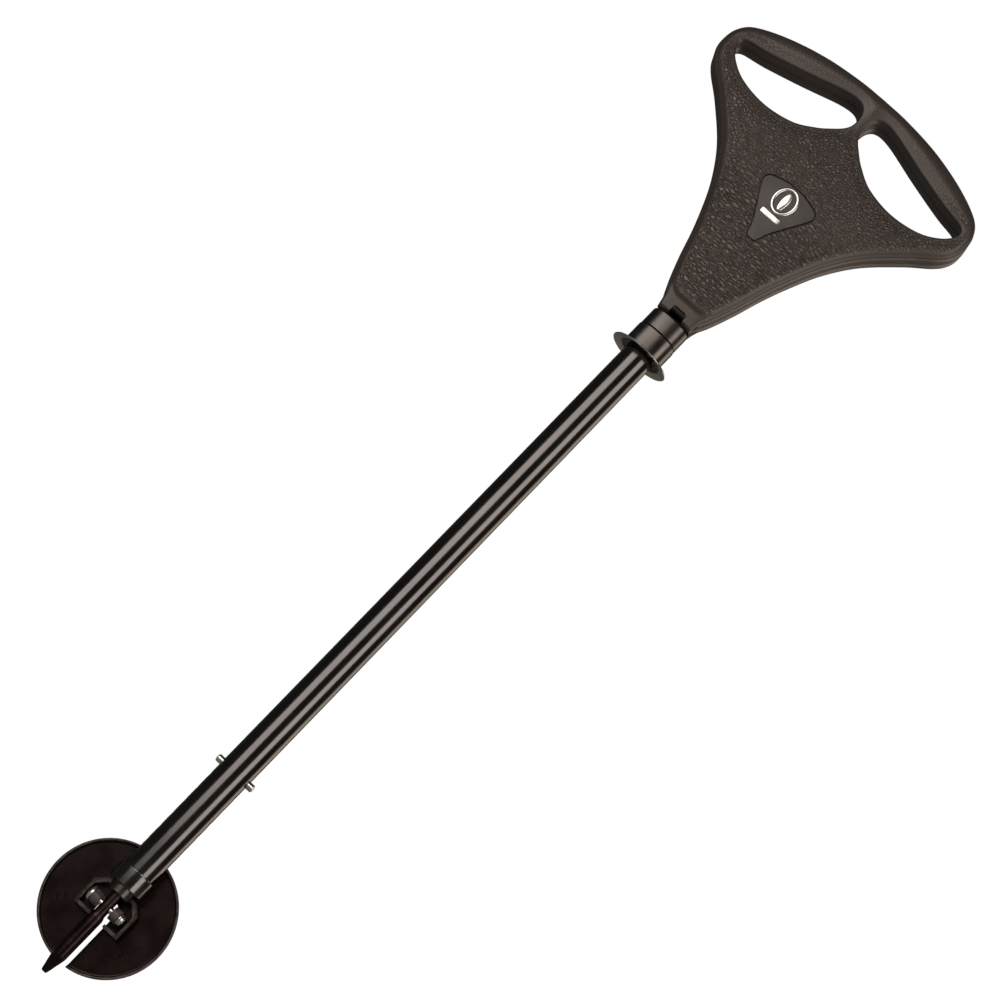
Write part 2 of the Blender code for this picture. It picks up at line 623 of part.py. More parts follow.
def build_leaf(side, turn):
    """One seat leaf: shell, raised cushion panel, knuckle, inner cover, badge and screws."""
    hinge = pivot(f"{side}_leaf_axis", (0, LEAF_PIN_Y if turn else -LEAF_PIN_Y, LEAF_PIN_Z), (0, 0, turn))
    shell = place(f"{side}_leaf_shell", leaf_shell_mesh(), leaf_plastic(), parent=hinge)

    cushion = [(-LEAF_OUTER + 1.5 * MM, 5.0), (-LEAF_OUTER - 1.2 * MM, 5.6), (-CUSHION_OUTER, 9.0)]
    mesh = loft("cushion", [[facing(body_loop(*CUSHION_SPAN, d * MM), y)] for y, d in cushion])
    join(shell, place(f"{side}_cushion", mesh, None, parent=hinge))

    arc = [Vector((KNUCKLE_R * cos(a), KNUCKLE_R * sin(a))) for a in [pi + i * pi / 14 for i in range(15)]]
    far = 20 * MM
    below = [Vector((far, 0)), Vector((far, -far)), Vector((-far, -far)), Vector((-far, 0))]
    levels = [[[(x, p.x, p.y) for p in arc + below]] for x in (-30 * MM, 30 * MM)]
    cut(shell, place(f"{side}_knuckle_round", loft("knuckle_round", levels), None, parent=hinge))

    notch = TONGUE_HALF + 0.4 * MM
    room = TONGUE_R + 0.4 * MM
    lip = 0.5 * MM
    start = asin(lip / room)
    turns = [pi / 2 + i * (pi / 2 - start) / 8 for i in range(9)]
    profile = [Vector((far, room))] + [Vector((room * cos(a), room * sin(a))) for a in turns]
    profile += [Vector((-far, lip)), Vector((-far, -far)), Vector((far, -far))]
    levels = [[[(x, p.x, p.y) for p in profile]] for x in (-notch, notch)]
    cut(shell, place(f"{side}_notch", loft("notch", levels), None, parent=hinge))
    cut(shell, place(f"{side}_pin_bore", rod_along_x("pin_bore", LEAF_PIN_R + GAP, -far, far, 24),
                     None, parent=hinge))

    face = LEAF_INNER
    recess_loop = body_loop(*RECESS_SPAN, 4.0 * MM)
    recess = [[facing(recess_loop, y)] for y in (face + 1 * MM, face - COVER_DEPTH - GAP)]
    cut(shell, place(f"{side}_cover_recess", loft("cover_recess", recess), None, parent=hinge))
    posts = [circle(POST_R, p.x, p.y, 16) for p in screw_places()]
    pocket = body_loop(*POCKET_SPAN, 7.5 * MM)
    levels = [[facing(loop, y) for loop in [pocket] + posts]
              for y in (face - COVER_DEPTH, -LEAF_OUTER + 2.6 * MM)]
    cut(shell, place(f"{side}_pocket", loft("pocket", levels), None, parent=hinge))

    middle = (recess_loop[0].y + max(p.y for p in recess_loop)) / 2
    cover_loop = [Vector((p.x, middle + (p.y - middle) * COVER_FIT)) for p in recess_loop]
    for p in cover_loop:
        p.x *= COVER_FIT
    cover = place(f"{side}_seat_cover", loft("seat_cover", [
        [facing(inset(cover_loop, 0.4 * MM), face)], [facing(cover_loop, face - 0.5 * MM)],
        [facing(cover_loop, face - COVER_DEPTH)]]), leaf_plastic(), parent=hinge)

    for i, p in enumerate(screw_places()):
        name = f"{side}_cover_screw_{i + 1}"
        sink = turned("sink", [
            (0, -0.5 * MM), (SCREW_HEAD_R + 0.8 * MM, -0.5 * MM), (SCREW_R + GAP, 1.9 * MM),
            (SCREW_R + GAP, SCREW_LENGTH + GAP), (0, SCREW_LENGTH + GAP)], 16)
        sink.transform(Matrix.Rotation(pi / 2, 4, "X"))
        spot = (p.x, face, p.y)
        tool = place(name + "_sink", sink, None, spot, parent=hinge)
        cut(cover, tool)
        cut(shell, tool)
        screw = turned(name, [
            (0, 0.2 * MM), (SCREW_HEAD_R, 0.2 * MM), (SCREW_R, 1.8 * MM),
            (SCREW_R, SCREW_LENGTH - 0.5 * MM), (0.4 * MM, SCREW_LENGTH), (0, SCREW_LENGTH)], 16)
        screw.transform(Matrix.Rotation(pi / 2, 4, "X"))
        place(name, screw, bright_metal(), spot, parent=hinge)

    build_badge(side, shell, hinge)


def build_badge(side, shell, hinge):
    """A rounded three-cornered badge plate let into the cushion, with a plain oval ring on it."""
    loop = mirrored(smooth_curve(leaf_points(BADGE_OUTLINE), 3))
    face = -CUSHION_OUTER
    cut(shell, place(f"{side}_badge_recess", loft("badge_recess", [
        [facing(loop, y)] for y in (face - 1 * MM, face + BADGE_DEPTH)]), None, parent=hinge))
    inner = inset(loop, 0.5 * MM)
    place(f"{side}_badge", loft("badge", [
        [facing(inner, y)] for y in (face + 0.4 * MM, face + BADGE_DEPTH - GAP)]),
        leaf_plastic(), parent=hinge)
    angles = [2 * pi * i / 40 for i in range(40)]
    middle = RING_Z - LEAF_PIN_Z
    ovals = [[Vector((w * cos(a), middle + h * sin(a))) for a in angles]
             for w, h in (RING_OUTER, RING_INNER)]
    place(f"{side}_badge_ring", loft("badge_ring", [
        [facing(oval, y) for oval in ovals] for y in (face - 0.4 * MM, face + 0.1 * MM)]),
        bright_metal(), parent=hinge)


def main():
    """Clear the scene and build every sub-part."""
    for item in list(bpy.data.objects):
        bpy.data.objects.remove(item)
    build_inner_tube()
    build_guide_plug()
    build_ferrule()
    build_spike()
    build_pivot_bolt()
    build_ground_plate()
    build_buttons()
    build_outer_tube()
    build_guard()
    build_head()
    build_leaf("front", 0.0)
    build_leaf("rear", pi)


main()
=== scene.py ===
"""The folding shooting stick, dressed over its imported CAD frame.

Each sub-assembly is a class that holds its own sizes, builds its meshes and dresses them. Sizes are in
metres, with Z up the stem from the spike's tip, X across the seat leaves and -Y the front.
"""

import logging
from dataclasses import dataclass
from enum import Enum
from math import asin, cos, pi, radians, sin
from typing import Callable, Iterable, Optional, Sequence

import bmesh
import bpy
import numpy as np
from mathutils import Matrix, Vector
from mathutils.geometry import delaunay_2d_cdt


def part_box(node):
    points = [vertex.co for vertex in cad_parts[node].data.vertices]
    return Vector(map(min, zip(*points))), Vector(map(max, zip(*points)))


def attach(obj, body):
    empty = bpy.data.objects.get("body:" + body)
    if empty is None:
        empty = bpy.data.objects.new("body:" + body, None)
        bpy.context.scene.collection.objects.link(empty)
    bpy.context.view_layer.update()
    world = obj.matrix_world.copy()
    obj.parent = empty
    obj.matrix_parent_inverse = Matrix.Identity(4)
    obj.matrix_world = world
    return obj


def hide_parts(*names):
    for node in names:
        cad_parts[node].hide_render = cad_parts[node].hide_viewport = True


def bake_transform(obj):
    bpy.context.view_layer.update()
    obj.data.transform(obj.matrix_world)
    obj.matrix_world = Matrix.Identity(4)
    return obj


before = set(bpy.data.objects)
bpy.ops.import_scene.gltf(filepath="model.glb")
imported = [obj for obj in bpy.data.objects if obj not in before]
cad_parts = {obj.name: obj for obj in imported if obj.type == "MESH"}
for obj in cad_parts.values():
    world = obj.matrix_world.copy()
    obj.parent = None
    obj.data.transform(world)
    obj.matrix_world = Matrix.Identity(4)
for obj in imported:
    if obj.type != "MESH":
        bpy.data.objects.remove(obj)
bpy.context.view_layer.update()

MM = 0.001
LOG = logging.getLogger("shooting_stick")
Color = tuple[float, float, float]
Point = tuple[float, float, float]
Profile = Sequence[tuple[float, float]]
Face = Callable[[float, float, float], Point]

PIVOT_Z = 61.6 * MM
BUTTON_Z = 191.0 * MM
LEAF_PIN_Y = 7.0 * MM
LEAF_PIN_Z = 664.5 * MM
CROSS_PIN_BORE = 2.1 * MM
NEAR_ZERO = 1e-7
SLIVER = 1e-13


class Body(Enum):
    """The CAD bodies that pieces ride on."""

    LOWER = "lower_stem"
    UPPER = "upper_stem"
    PLATE = "ground_plate"
    BUTTON_RIGHT = "button_right"
    BUTTON_LEFT = "button_left"
    FRONT_LEAF = "front_leaf"
    REAR_LEAF = "rear_leaf"


class Slot(Enum):
    """The record's material slots."""

    LEAF = "leaf_plastic"
    SEAT = "seat_plastic"
    BADGE = "badge_plastic"
    TRIM = "silver_trim"
    TUBE = "black_tube"
    BRIGHT = "bright_metal"
    STEEL = "steel"
    CASTING = "dark_casting"
    GUARD = "guard_metal"
    PLATE = "plate_plastic"
    NYLON = "nylon"


class Axis(Enum):
    """The axis that a turned piece is built about."""

    X = "x"
    Y = "y"
    Z = "z"

    def turn(self) -> Matrix:
        """Returns the rotation that takes +Z to this axis."""
        if self is Axis.X:
            return Matrix.Rotation(pi / 2, 4, "Y")
        if self is Axis.Y:
            return Matrix.Rotation(-pi / 2, 4, "X")
        return Matrix.Identity(4)


class Side(Enum):
    """Which of the two seat leaves a piece belongs to."""

    FRONT = "front"
    REAR = "rear"

    @property
    def body(self) -> Body:
        """The body that this side's leaf pieces ride on."""
        return Body.FRONT_LEAF if self is Side.FRONT else Body.REAR_LEAF

    def place(self, pin_y: float, pin_z: float) -> Matrix:
        """Gives the leaf's place from its hinge axis.

        Args:
            pin_y: distance of the hinge axis from the stem's centre.
            pin_z: height of the hinge axis.

        Returns:
            The matrix from the leaf's own hinge coordinates to the object's.
        """
        if self is Side.FRONT:
            return Matrix.Translation((0, -pin_y, pin_z))
        return Matrix.Translation((0, pin_y, pin_z)) @ Matrix.Rotation(pi, 4, "Z")


# Materials


class Shader:
    """A Principled material under construction, reading Object coordinates."""

    def __init__(self, name: str, color: Color, roughness: float, metallic: float = 0.0) -> None:
        """Starts the material.

        Args:
            name: the material's name.
            color: base colour, used where nothing is linked to it.
            roughness: base roughness.
            metallic: 0 for plastics, 1 for bare metal.
        """
        self.material = bpy.data.materials.new(name)
        self.material.use_nodes = True
        self.tree = self.material.node_tree
        self.principled = self.tree.nodes["Principled BSDF"]
        self.principled.inputs["Base Color"].default_value = (*color, 1)
        self.principled.inputs["Roughness"].default_value = roughness
        self.principled.inputs["Metallic"].default_value = metallic
        self.coordinates = self.tree.nodes.new("ShaderNodeTexCoord").outputs["Object"]
        self.material.diffuse_color = (*color, 1)

    @classmethod
    def again(cls, material: bpy.types.Material) -> "Shader":
        """Returns a shader that goes on with a material made before.

        Args:
            material: the material, with its Principled node.

        Returns:
            The shader, on new Object coordinates.
        """
        made = cls.__new__(cls)
        made.material = material
        made.tree = material.node_tree
        made.principled = made.tree.nodes["Principled BSDF"]
        made.coordinates = made.tree.nodes.new("ShaderNodeTexCoord").outputs["Object"]
        return made

    def constant(self, **values: float) -> "Shader":
        """Sets constant shader sockets, such as Coat_Weight=0.2, and returns the shader.

        Args:
            values: socket names, with _ for a space, and their numbers.

        Returns:
            The shader.
        """
        for name, value in values.items():
            self.principled.inputs[name.replace("_", " ")].default_value = value
        return self

    def node(self, kind: str, *links: tuple[str, bpy.types.NodeSocket], **settings: object) -> bpy.types.Node:
        """Adds one node.

        Args:
            kind: the node's type name.
            links: pairs of input name and the socket that feeds it.
            settings: node properties, or input defaults where no property has that name.

        Returns:
            The new node.
        """
        made = self.tree.nodes.new(kind)
        for name, value in settings.items():
            if hasattr(made, name):
                setattr(made, name, value)
            else:
                made.inputs[name.replace("_", " ")].default_value = value
        for name, socket in links:
            self.tree.links.new(socket, made.inputs[name])
        return made

    def stretched(self, scale: Sequence[float]) -> bpy.types.NodeSocket:
        """Returns Object coordinates scaled by scale."""
        return self.node("ShaderNodeMapping", ("Vector", self.coordinates), Scale=scale).outputs[0]

    def noise(self, scale: float, detail: float = 3.0, stretch: Sequence[float] = (1, 1, 1),
              roughness: float = 0.5) -> bpy.types.NodeSocket:
        """Returns a noise pattern's value, from 0 to 1.

        Args:
            scale: noise cells per metre.
            detail: finer octaves.
            stretch: scale of each axis before the pattern.
            roughness: weight of the finer octaves.

        Returns:
            The value, from 0 to 1.
        """
        vector = self.stretched(stretch)
        return self.node("ShaderNodeTexNoise", ("Vector", vector), Scale=scale, Detail=detail,
                         Roughness=roughness).outputs["Fac"]

    def cells(self, scale: float, stretch: Sequence[float], warp: float) -> bpy.types.NodeSocket:
        """Returns the distance to the edge of each cell of a pattern.

        Args:
            scale: cells per metre.
            stretch: scale of each axis before the pattern.
            warp: how far a noise pushes the cells about, in cells.

        Returns:
            The distance output.
        """
        vector = self.stretched(stretch)
        drift = self.node("ShaderNodeTexNoise", ("Vector", vector), Scale=scale * 0.6, Detail=1.0)
        centred = self.node("ShaderNodeVectorMath", ("Vector", drift.outputs["Color"]), operation="SUBTRACT")
        centred.inputs[1].default_value = (0.5, 0.5, 0.5)
        scaled = self.node("ShaderNodeVectorMath", ("Vector", centred.outputs[0]), operation="SCALE")
        scaled.inputs["Scale"].default_value = warp / scale
        added = self.node("ShaderNodeVectorMath", ("Vector", vector), operation="ADD")
        self.tree.links.new(scaled.outputs[0], added.inputs[1])
        return self.node("ShaderNodeTexVoronoi", ("Vector", added.outputs[0]), feature="DISTANCE_TO_EDGE",
                         Scale=scale, Randomness=1.0).outputs["Distance"]

    def maths(self, operation: str, first: object, second: object = 0.0) -> bpy.types.NodeSocket:
        """Returns the result of a Math node on two sockets or numbers.

        Args:
            operation: the Math node's operation.
            first: the first socket or number.
            second: the second socket or number.

        Returns:
            The result.
        """
        made = self.node("ShaderNodeMath", operation=operation)
        for i, value in enumerate((first, second)):
            if isinstance(value, (int, float)):
                made.inputs[i].default_value = value
            else:
                self.tree.links.new(value, made.inputs[i])
        return made.outputs[0]

    def span(self, value: bpy.types.NodeSocket, low: float, high: float, to_low: float = 0.0,
             to_high: float = 1.0) -> bpy.types.NodeSocket:
        """Returns value mapped smoothly from low..high to to_low..to_high, and held beyond.

        Args:
            value: the socket that is mapped.
            low: the value that gives to_low.
            high: the value that gives to_high.
            to_low: the result at and below low.
            to_high: the result at and above high.

        Returns:
            The mapped socket.
        """
        made = self.node("ShaderNodeMapRange", ("Value", value), interpolation_type="SMOOTHSTEP")
        made.inputs["From Min"].default_value = low
        made.inputs["From Max"].default_value = high
        made.inputs["To Min"].default_value = to_low
        made.inputs["To Max"].default_value = to_high
        return made.outputs["Result"]

    def attribute(self, name: str) -> bpy.types.NodeSocket:
        """Returns a named point attribute's value."""
        return self.node("ShaderNodeAttribute", attribute_name=name).outputs["Fac"]

    def height(self) -> bpy.types.NodeSocket:
        """Returns the Z of the Object coordinates."""
        return self.node("ShaderNodeSeparateXYZ", ("Vector", self.coordinates)).outputs["Z"]

    def blend(self, factor: bpy.types.NodeSocket, low: Color, high: Color) -> bpy.types.NodeSocket:
        """Returns the colour from low to high by factor.

        Args:
            factor: 0 for low, 1 for high.
            low: the first colour.
            high: the second colour.

        Returns:
            The colour socket.
        """
        made = self.node("ShaderNodeMix", data_type="RGBA")
        self.tree.links.new(factor, made.inputs[0])
        made.inputs[6].default_value = (*low, 1)
        made.inputs[7].default_value = (*high, 1)
        return made.outputs[2]

    def mixed(self, factor: bpy.types.NodeSocket, low: bpy.types.NodeSocket, high: bpy.types.NodeSocket
              ) -> bpy.types.NodeSocket:
        """Returns the number from low to high by factor.

        Args:
            factor: 0 for low, 1 for high.
            low: the first number.
            high: the second number.

        Returns:
            The number socket.
        """
        made = self.node("ShaderNodeMix", data_type="FLOAT")
        for i, socket in ((0, factor), (2, low), (3, high)):
            self.tree.links.new(socket, made.inputs[i])
        return made.outputs[0]

    def cover(self, factor: bpy.types.NodeSocket, color: Color) -> None:
        """Lays a colour over the base colour by factor.

        Args:
            factor: how much of the new colour shows, 0 to 1.
            color: the new colour.
        """
        made = self.node("ShaderNodeMix", data_type="RGBA")
        self.tree.links.new(factor, made.inputs[0])
        self.tree.links.new(self.principled.inputs["Base Color"].links[0].from_socket, made.inputs[6])
        made.inputs[7].default_value = (*color, 1)
        self.color(made.outputs[2])

    def color(self, socket: bpy.types.NodeSocket) -> None:
        """Feeds the base colour."""
        self.tree.links.new(socket, self.principled.inputs["Base Color"])

    def roughness(self, socket: bpy.types.NodeSocket) -> None:
        """Feeds the roughness."""
        self.tree.links.new(socket, self.principled.inputs["Roughness"])

    def bump(self, relief: bpy.types.NodeSocket, distance: float, strength: float = 1.0) -> None:
        """Feeds the normal from a height pattern, under any bump already there.

        Args:
            relief: the height pattern.
            distance: the height of 1, in metres.
            strength: how strongly it shows.
        """
        made = self.node("ShaderNodeBump", ("Height", relief))
        made.inputs["Strength"].default_value = strength
        made.inputs["Distance"].default_value = distance
        normal = self.principled.inputs["Normal"]
        if normal.is_linked:
            self.tree.links.new(normal.links[0].from_socket, made.inputs["Normal"])
        self.tree.links.new(made.outputs[0], normal)


@dataclass(frozen=True)
class GrainedPlastic:
    """Moulded plastic with a leather grain that fades out where the piece's grain attribute is 0."""

    name: str = "grained_plastic"
    hollow: Color = (0.0012, 0.0007, 0.0006)
    crest: Color = (0.070, 0.051, 0.043)
    roughness: float = 0.38
    pebble: float = 2.7 * MM
    wrinkle: float = 3.1 * MM
    crease: float = 0.32
    change_z: tuple[float, float] = (0.76, 0.83)
    depth: float = 0.55 * MM
    sheen: Color = (1.0, 0.88, 0.81)

    def material(self) -> bpy.types.Material:
        """Builds the material: fine pebbles above, longer cross wrinkles towards the stem."""
        shader = Shader(self.name, self.crest, self.roughness)
        pebbles = shader.span(shader.cells(1 / self.pebble, (1, 0.35, 1.1), 0.9), 0.0, self.crease)
        wrinkles = shader.span(shader.cells(1 / self.wrinkle, (0.60, 0.3, 1.25), 1.4), 0.0, self.crease)
        lower = shader.span(shader.height(), *self.change_z, 1.0, 0.0)
        both = shader.mixed(lower, pebbles, wrinkles)
        fine = shader.noise(900.0, 2.0)
        relief = shader.maths("ADD", both, shader.maths("MULTIPLY", fine, 0.18))
        grain = shader.attribute("grain")
        shader.bump(shader.maths("MULTIPLY", relief, grain), self.depth, 1.0)
        shader.bump(shader.noise(2200.0, 2.0), 0.012 * MM, 0.5)
        cloud = shader.noise(22.0, 4.0)
        grained = shader.maths("ADD", shader.maths("MULTIPLY", both, 0.80),
                               shader.maths("MULTIPLY", cloud, 0.30))
        plain = shader.maths("ADD", 0.35, shader.maths("MULTIPLY", cloud, 0.25))
        level = shader.mixed(grain, plain, grained)
        shader.color(shader.blend(level, self.hollow, self.crest))
        shader.roughness(shader.span(level, 0.0, 1.0, self.roughness + 0.14, self.roughness - 0.04))
        shader.principled.inputs["Specular Tint"].default_value = (*self.sheen, 1)
        return shader.constant(Specular_IOR_Level=0.55).material


@dataclass(frozen=True)
class SatinPlastic:
    """Plain moulded plastic with a fine spark-eroded texture and faint cloudiness."""

    name: str
    dark: Color
    light: Color
    roughness: float = 0.4
    texture: float = 1500.0
    depth: float = 0.02 * MM
    shine: float = 0.5
    sheen: Color = (1.0, 0.90, 0.84)

    def material(self) -> bpy.types.Material:
        """Builds the material."""
        shader = Shader(self.name, self.light, self.roughness)
        cloud = shader.noise(30.0, 5.0)
        shader.color(shader.blend(shader.span(cloud, 0.25, 0.75), self.dark, self.light))
        shader.roughness(shader.span(shader.noise(60.0, 4.0), 0.3, 0.7, self.roughness - 0.05,
                                     self.roughness + 0.08))
        shader.bump(shader.noise(self.texture, 2.0), self.depth, 0.7)
        shader.principled.inputs["Specular Tint"].default_value = (*self.sheen, 1)
        return shader.constant(Specular_IOR_Level=self.shine).material


@dataclass(frozen=True)
class TurnedMetal:
    """Metal turned, drawn or spun about Z, with fine lines round or along it."""

    name: str
    color: Color
    shade: Color
    roughness: float = 0.25
    metallic: float = 1.0
    lines: Sequence[float] = (1.0, 1.0, 60.0)
    depth: float = 0.004 * MM
    smudge: float = 0.06

    def material(self) -> bpy.types.Material:
        """Builds the material."""
        shader = Shader(self.name, self.color, self.roughness, self.metallic)
        fine = shader.noise(40.0, 3.0, self.lines)
        cloud = shader.noise(35.0, 4.0)
        mixed = shader.maths("ADD", shader.maths("MULTIPLY", fine, 0.5), shader.maths("MULTIPLY", cloud, 0.5))
        shader.color(shader.blend(shader.span(mixed, 0.3, 0.7), self.shade, self.color))
        shader.roughness(shader.span(cloud, 0.3, 0.7, self.roughness - self.smudge,
                                     self.roughness + self.smudge))
        shader.bump(fine, self.depth, 0.6)
        return shader.material


@dataclass(frozen=True)
class SpunDisc:
    """A spun disc of grey metal, with painted shade darkening the dish round the stem."""

    name: str = "spun_disc"
    painted_shade: Color = (0.030, 0.026, 0.024)
    grey: Color = (0.50, 0.46, 0.41)
    roughness: float = 0.30
    dish_radius: float = 18.6 * MM
    fade: float = 1.2 * MM

    def material(self) -> bpy.types.Material:
        """Builds the material, with painted shade and a painted reflection of the black tube inside the
        dish's radius.
        """
        shader = Shader(self.name, self.grey, self.roughness, 1.0)
        across = shader.stretched((1, 1, 0))
        radius = shader.node("ShaderNodeVectorMath", ("Vector", across), operation="LENGTH").outputs["Value"]
        # Painted shade: black colour in the dish round the stem, fading out at the dish's radius.
        unshaded = shader.span(radius, self.dish_radius - self.fade, self.dish_radius + self.fade)
        shader.color(shader.blend(unshaded, self.painted_shade, self.grey))
        cloud = shader.noise(60.0, 3.0)
        shader.roughness(shader.span(cloud, 0.3, 0.7, self.roughness - 0.05, self.roughness + 0.06))
        return shader.material


@dataclass(frozen=True)
class HingeCasting(TurnedMetal):
    """A satin casting whose hinge tongue is coloured black as painted shade in the leaves' notches."""

    painted_shade: Color = (0.016, 0.013, 0.013)
    tongue_z: float = 657.6 * MM

    def material(self) -> bpy.types.Material:
        """Builds the material, with painted shade above the block's top."""
        made = super().material()
        shader = Shader.again(made)
        # Painted shade: the tongue above the block's top is coloured black, standing in for the shade in the
        # leaves' notches.
        shader.cover(shader.span(shader.height(), self.tongue_z - 0.3 * MM, self.tongue_z), self.painted_shade)
        return made


@dataclass(frozen=True)
class PlatePlastic(SatinPlastic):
    """The ground plate's plastic, with a patchy painted highlight on the boss's and the rim's edges."""

    painted_highlight: Color = (0.085, 0.070, 0.064)
    boss_y: float = 5.0 * MM
    rim_y: float = 13.2 * MM
    boss_reach: float = 20.0 * MM
    rim_radius: float = 46.5 * MM

    def material(self) -> bpy.types.Material:
        """Builds the material, with painted highlight colour on the faces that stand proud."""
        made = super().material()
        shader = Shader.again(made)
        axes = shader.node("ShaderNodeSeparateXYZ", ("Vector", shader.coordinates))
        depth = axes.outputs["Y"]
        across = shader.maths("POWER", axes.outputs["X"], 2.0)
        upward = shader.maths("POWER", shader.maths("SUBTRACT", axes.outputs["Z"], PIVOT_Z), 2.0)
        radius = shader.maths("SQRT", shader.maths("ADD", across, upward))
        boss = shader.span(depth, self.boss_y + 0.15 * MM, self.boss_y + 0.5 * MM, 1.0, 0.0)
        inner = shader.span(radius, self.boss_reach, self.boss_reach + 0.5 * MM, 1.0, 0.35)
        top = shader.span(depth, self.rim_y + 0.1 * MM, self.rim_y + 0.9 * MM, 1.0, 0.0)
        rim = shader.maths("MULTIPLY", top, shader.span(radius, self.rim_radius, self.rim_radius + 0.3 * MM))
        highlight_mask = shader.maths("MAXIMUM", shader.maths("MULTIPLY", boss, inner), rim)
        patchy = shader.span(shader.noise(160.0, 3.0), 0.30, 0.62, 0.35, 1.0)
        # Painted highlight: a lighter colour in patches on the proud edges of the boss and the rim.
        shader.cover(shader.maths("MULTIPLY", highlight_mask, patchy), self.painted_highlight)
        return made


LEAF_FINISH = GrainedPlastic()
SEAT_FINISH = SatinPlastic("seat_plastic", (0.010, 0.0085, 0.0078), (0.024, 0.020, 0.018), 0.46, 1100.0,
                           0.05 * MM)
BADGE_FINISH = SatinPlastic("badge_plastic", (0.018, 0.0135, 0.012), (0.028, 0.022, 0.019), 0.34)
PLATE_FINISH = PlatePlastic("plate_plastic", (0.0024, 0.0008, 0.0007), (0.0058, 0.0022, 0.0019), 0.22, 700.0,
                            0.02 * MM, 0.20, (1.0, 0.72, 0.66))
NYLON_FINISH = SatinPlastic("natural_nylon", (0.60, 0.59, 0.55), (0.74, 0.73, 0.69), 0.42)
TUBE_FINISH = TurnedMetal("black_anodised_tube", (0.090, 0.082, 0.078), (0.075, 0.068, 0.064), 0.17, 1.0,
                          (30.0, 30.0, 1.0), 0.0002 * MM, 0.02)
BRIGHT_FINISH = TurnedMetal("bright_aluminium", (0.74, 0.73, 0.71), (0.60, 0.59, 0.57), 0.24)
FERRULE_FINISH = TurnedMetal("smoked_ferrule", (0.115, 0.105, 0.10), (0.085, 0.077, 0.072), 0.19)
STEEL_FINISH = TurnedMetal("plated_steel", (0.70, 0.68, 0.64), (0.50, 0.48, 0.45), 0.22)
CASTING_FINISH = TurnedMetal("satin_casting", (0.092, 0.080, 0.073), (0.062, 0.053, 0.048), 0.29, 1.0,
                             (1.0, 1.0, 1.0), 0.01 * MM, 0.07)
HEAD_FINISH = HingeCasting("hinge_casting", (0.088, 0.077, 0.070), (0.058, 0.050, 0.045), 0.30, 1.0,
                           (1.0, 1.0, 1.0), 0.01 * MM, 0.07)
SPIKE_FINISH = TurnedMetal("blackened_steel", (0.036, 0.024, 0.022), (0.018, 0.011, 0.010), 0.30, 1.0,
                           (2.0, 2.0, 14.0), 0.01 * MM, 0.08)
GUARD_FINISH = SpunDisc()
TRIM_FINISH = TurnedMetal("silver_trim", (0.62, 0.60, 0.56), (0.46, 0.44, 0.40), 0.24)


# Mesh helpers


def link(name: str, mesh: bpy.types.Mesh) -> bpy.types.Object:
    """Puts a mesh in the scene under a name and returns its object.

    Args:
        name: the object's and the mesh's name.
        mesh: the mesh.

    Returns:
        The new object.
    """
    mesh.name = name
    made = bpy.data.objects.new(name, mesh)
    bpy.context.scene.collection.objects.link(made)
    return made


def solid(name: str, bm: bmesh.types.BMesh) -> bpy.types.Object:
    """Turns a closed bmesh's faces outwards, frees it and returns it as an object.

    Args:
        name: the object's name.
        bm: the closed shape, which is freed.

    Returns:
        The new object.
    """
    bmesh.ops.recalc_face_normals(bm, faces=bm.faces)
    mesh = bpy.data.meshes.new(name)
    bm.to_mesh(mesh)
    bm.free()
    return link(name, mesh)


def spots(name: str, points: Iterable[Sequence[float]]) -> bpy.types.Mesh:
    """Returns a mesh of loose points.

    Args:
        name: the mesh's name.
        points: the points.

    Returns:
        The mesh.
    """
    mesh = bpy.data.meshes.new(name)
    mesh.from_pydata([tuple(p) for p in points], [], [])
    return mesh


def lengthways(u: float, v: float, depth: float) -> Point:
    """Returns a section's point where the section stands across X."""
    return depth, u, v


def facing(u: float, v: float, depth: float) -> Point:
    """Returns a section's point where the section faces along Y."""
    return u, depth, v


def flat(u: float, v: float, depth: float) -> Point:
    """Returns a section's point where the section lies flat."""
    return u, v, depth


def baked(item: bpy.types.Object, name: Optional[str] = None) -> bpy.types.Object:
    """Replaces an object by one with its evaluated mesh.

    Args:
        item: the object with modifiers.
        name: the new object's name, by default the old one's.

    Returns:
        The plain object, at the origin.
    """
    graph = bpy.context.evaluated_depsgraph_get()
    graph.update()
    mesh = bpy.data.meshes.new_from_object(item.evaluated_get(graph))
    mesh.transform(item.matrix_world)
    title = name or item.name
    bpy.data.objects.remove(item)
    return link(title, mesh)


def smoothed(item: bpy.types.Object, angle: float = 32.0) -> bpy.types.Object:
    """Shades an object smooth.

    Args:
        item: the object, which the result stands in for.
        angle: edges sharper than this stay sharp, in degrees.

    Returns:
        The plain object, its shading weighted so that long faces stay true beside small roundings.
    """
    item.data.shade_smooth()
    item.data.set_sharp_from_angle(angle=radians(angle))
    even = item.modifiers.new("even_shading", "WEIGHTED_NORMAL")
    even.keep_sharp = True
    return baked(item)


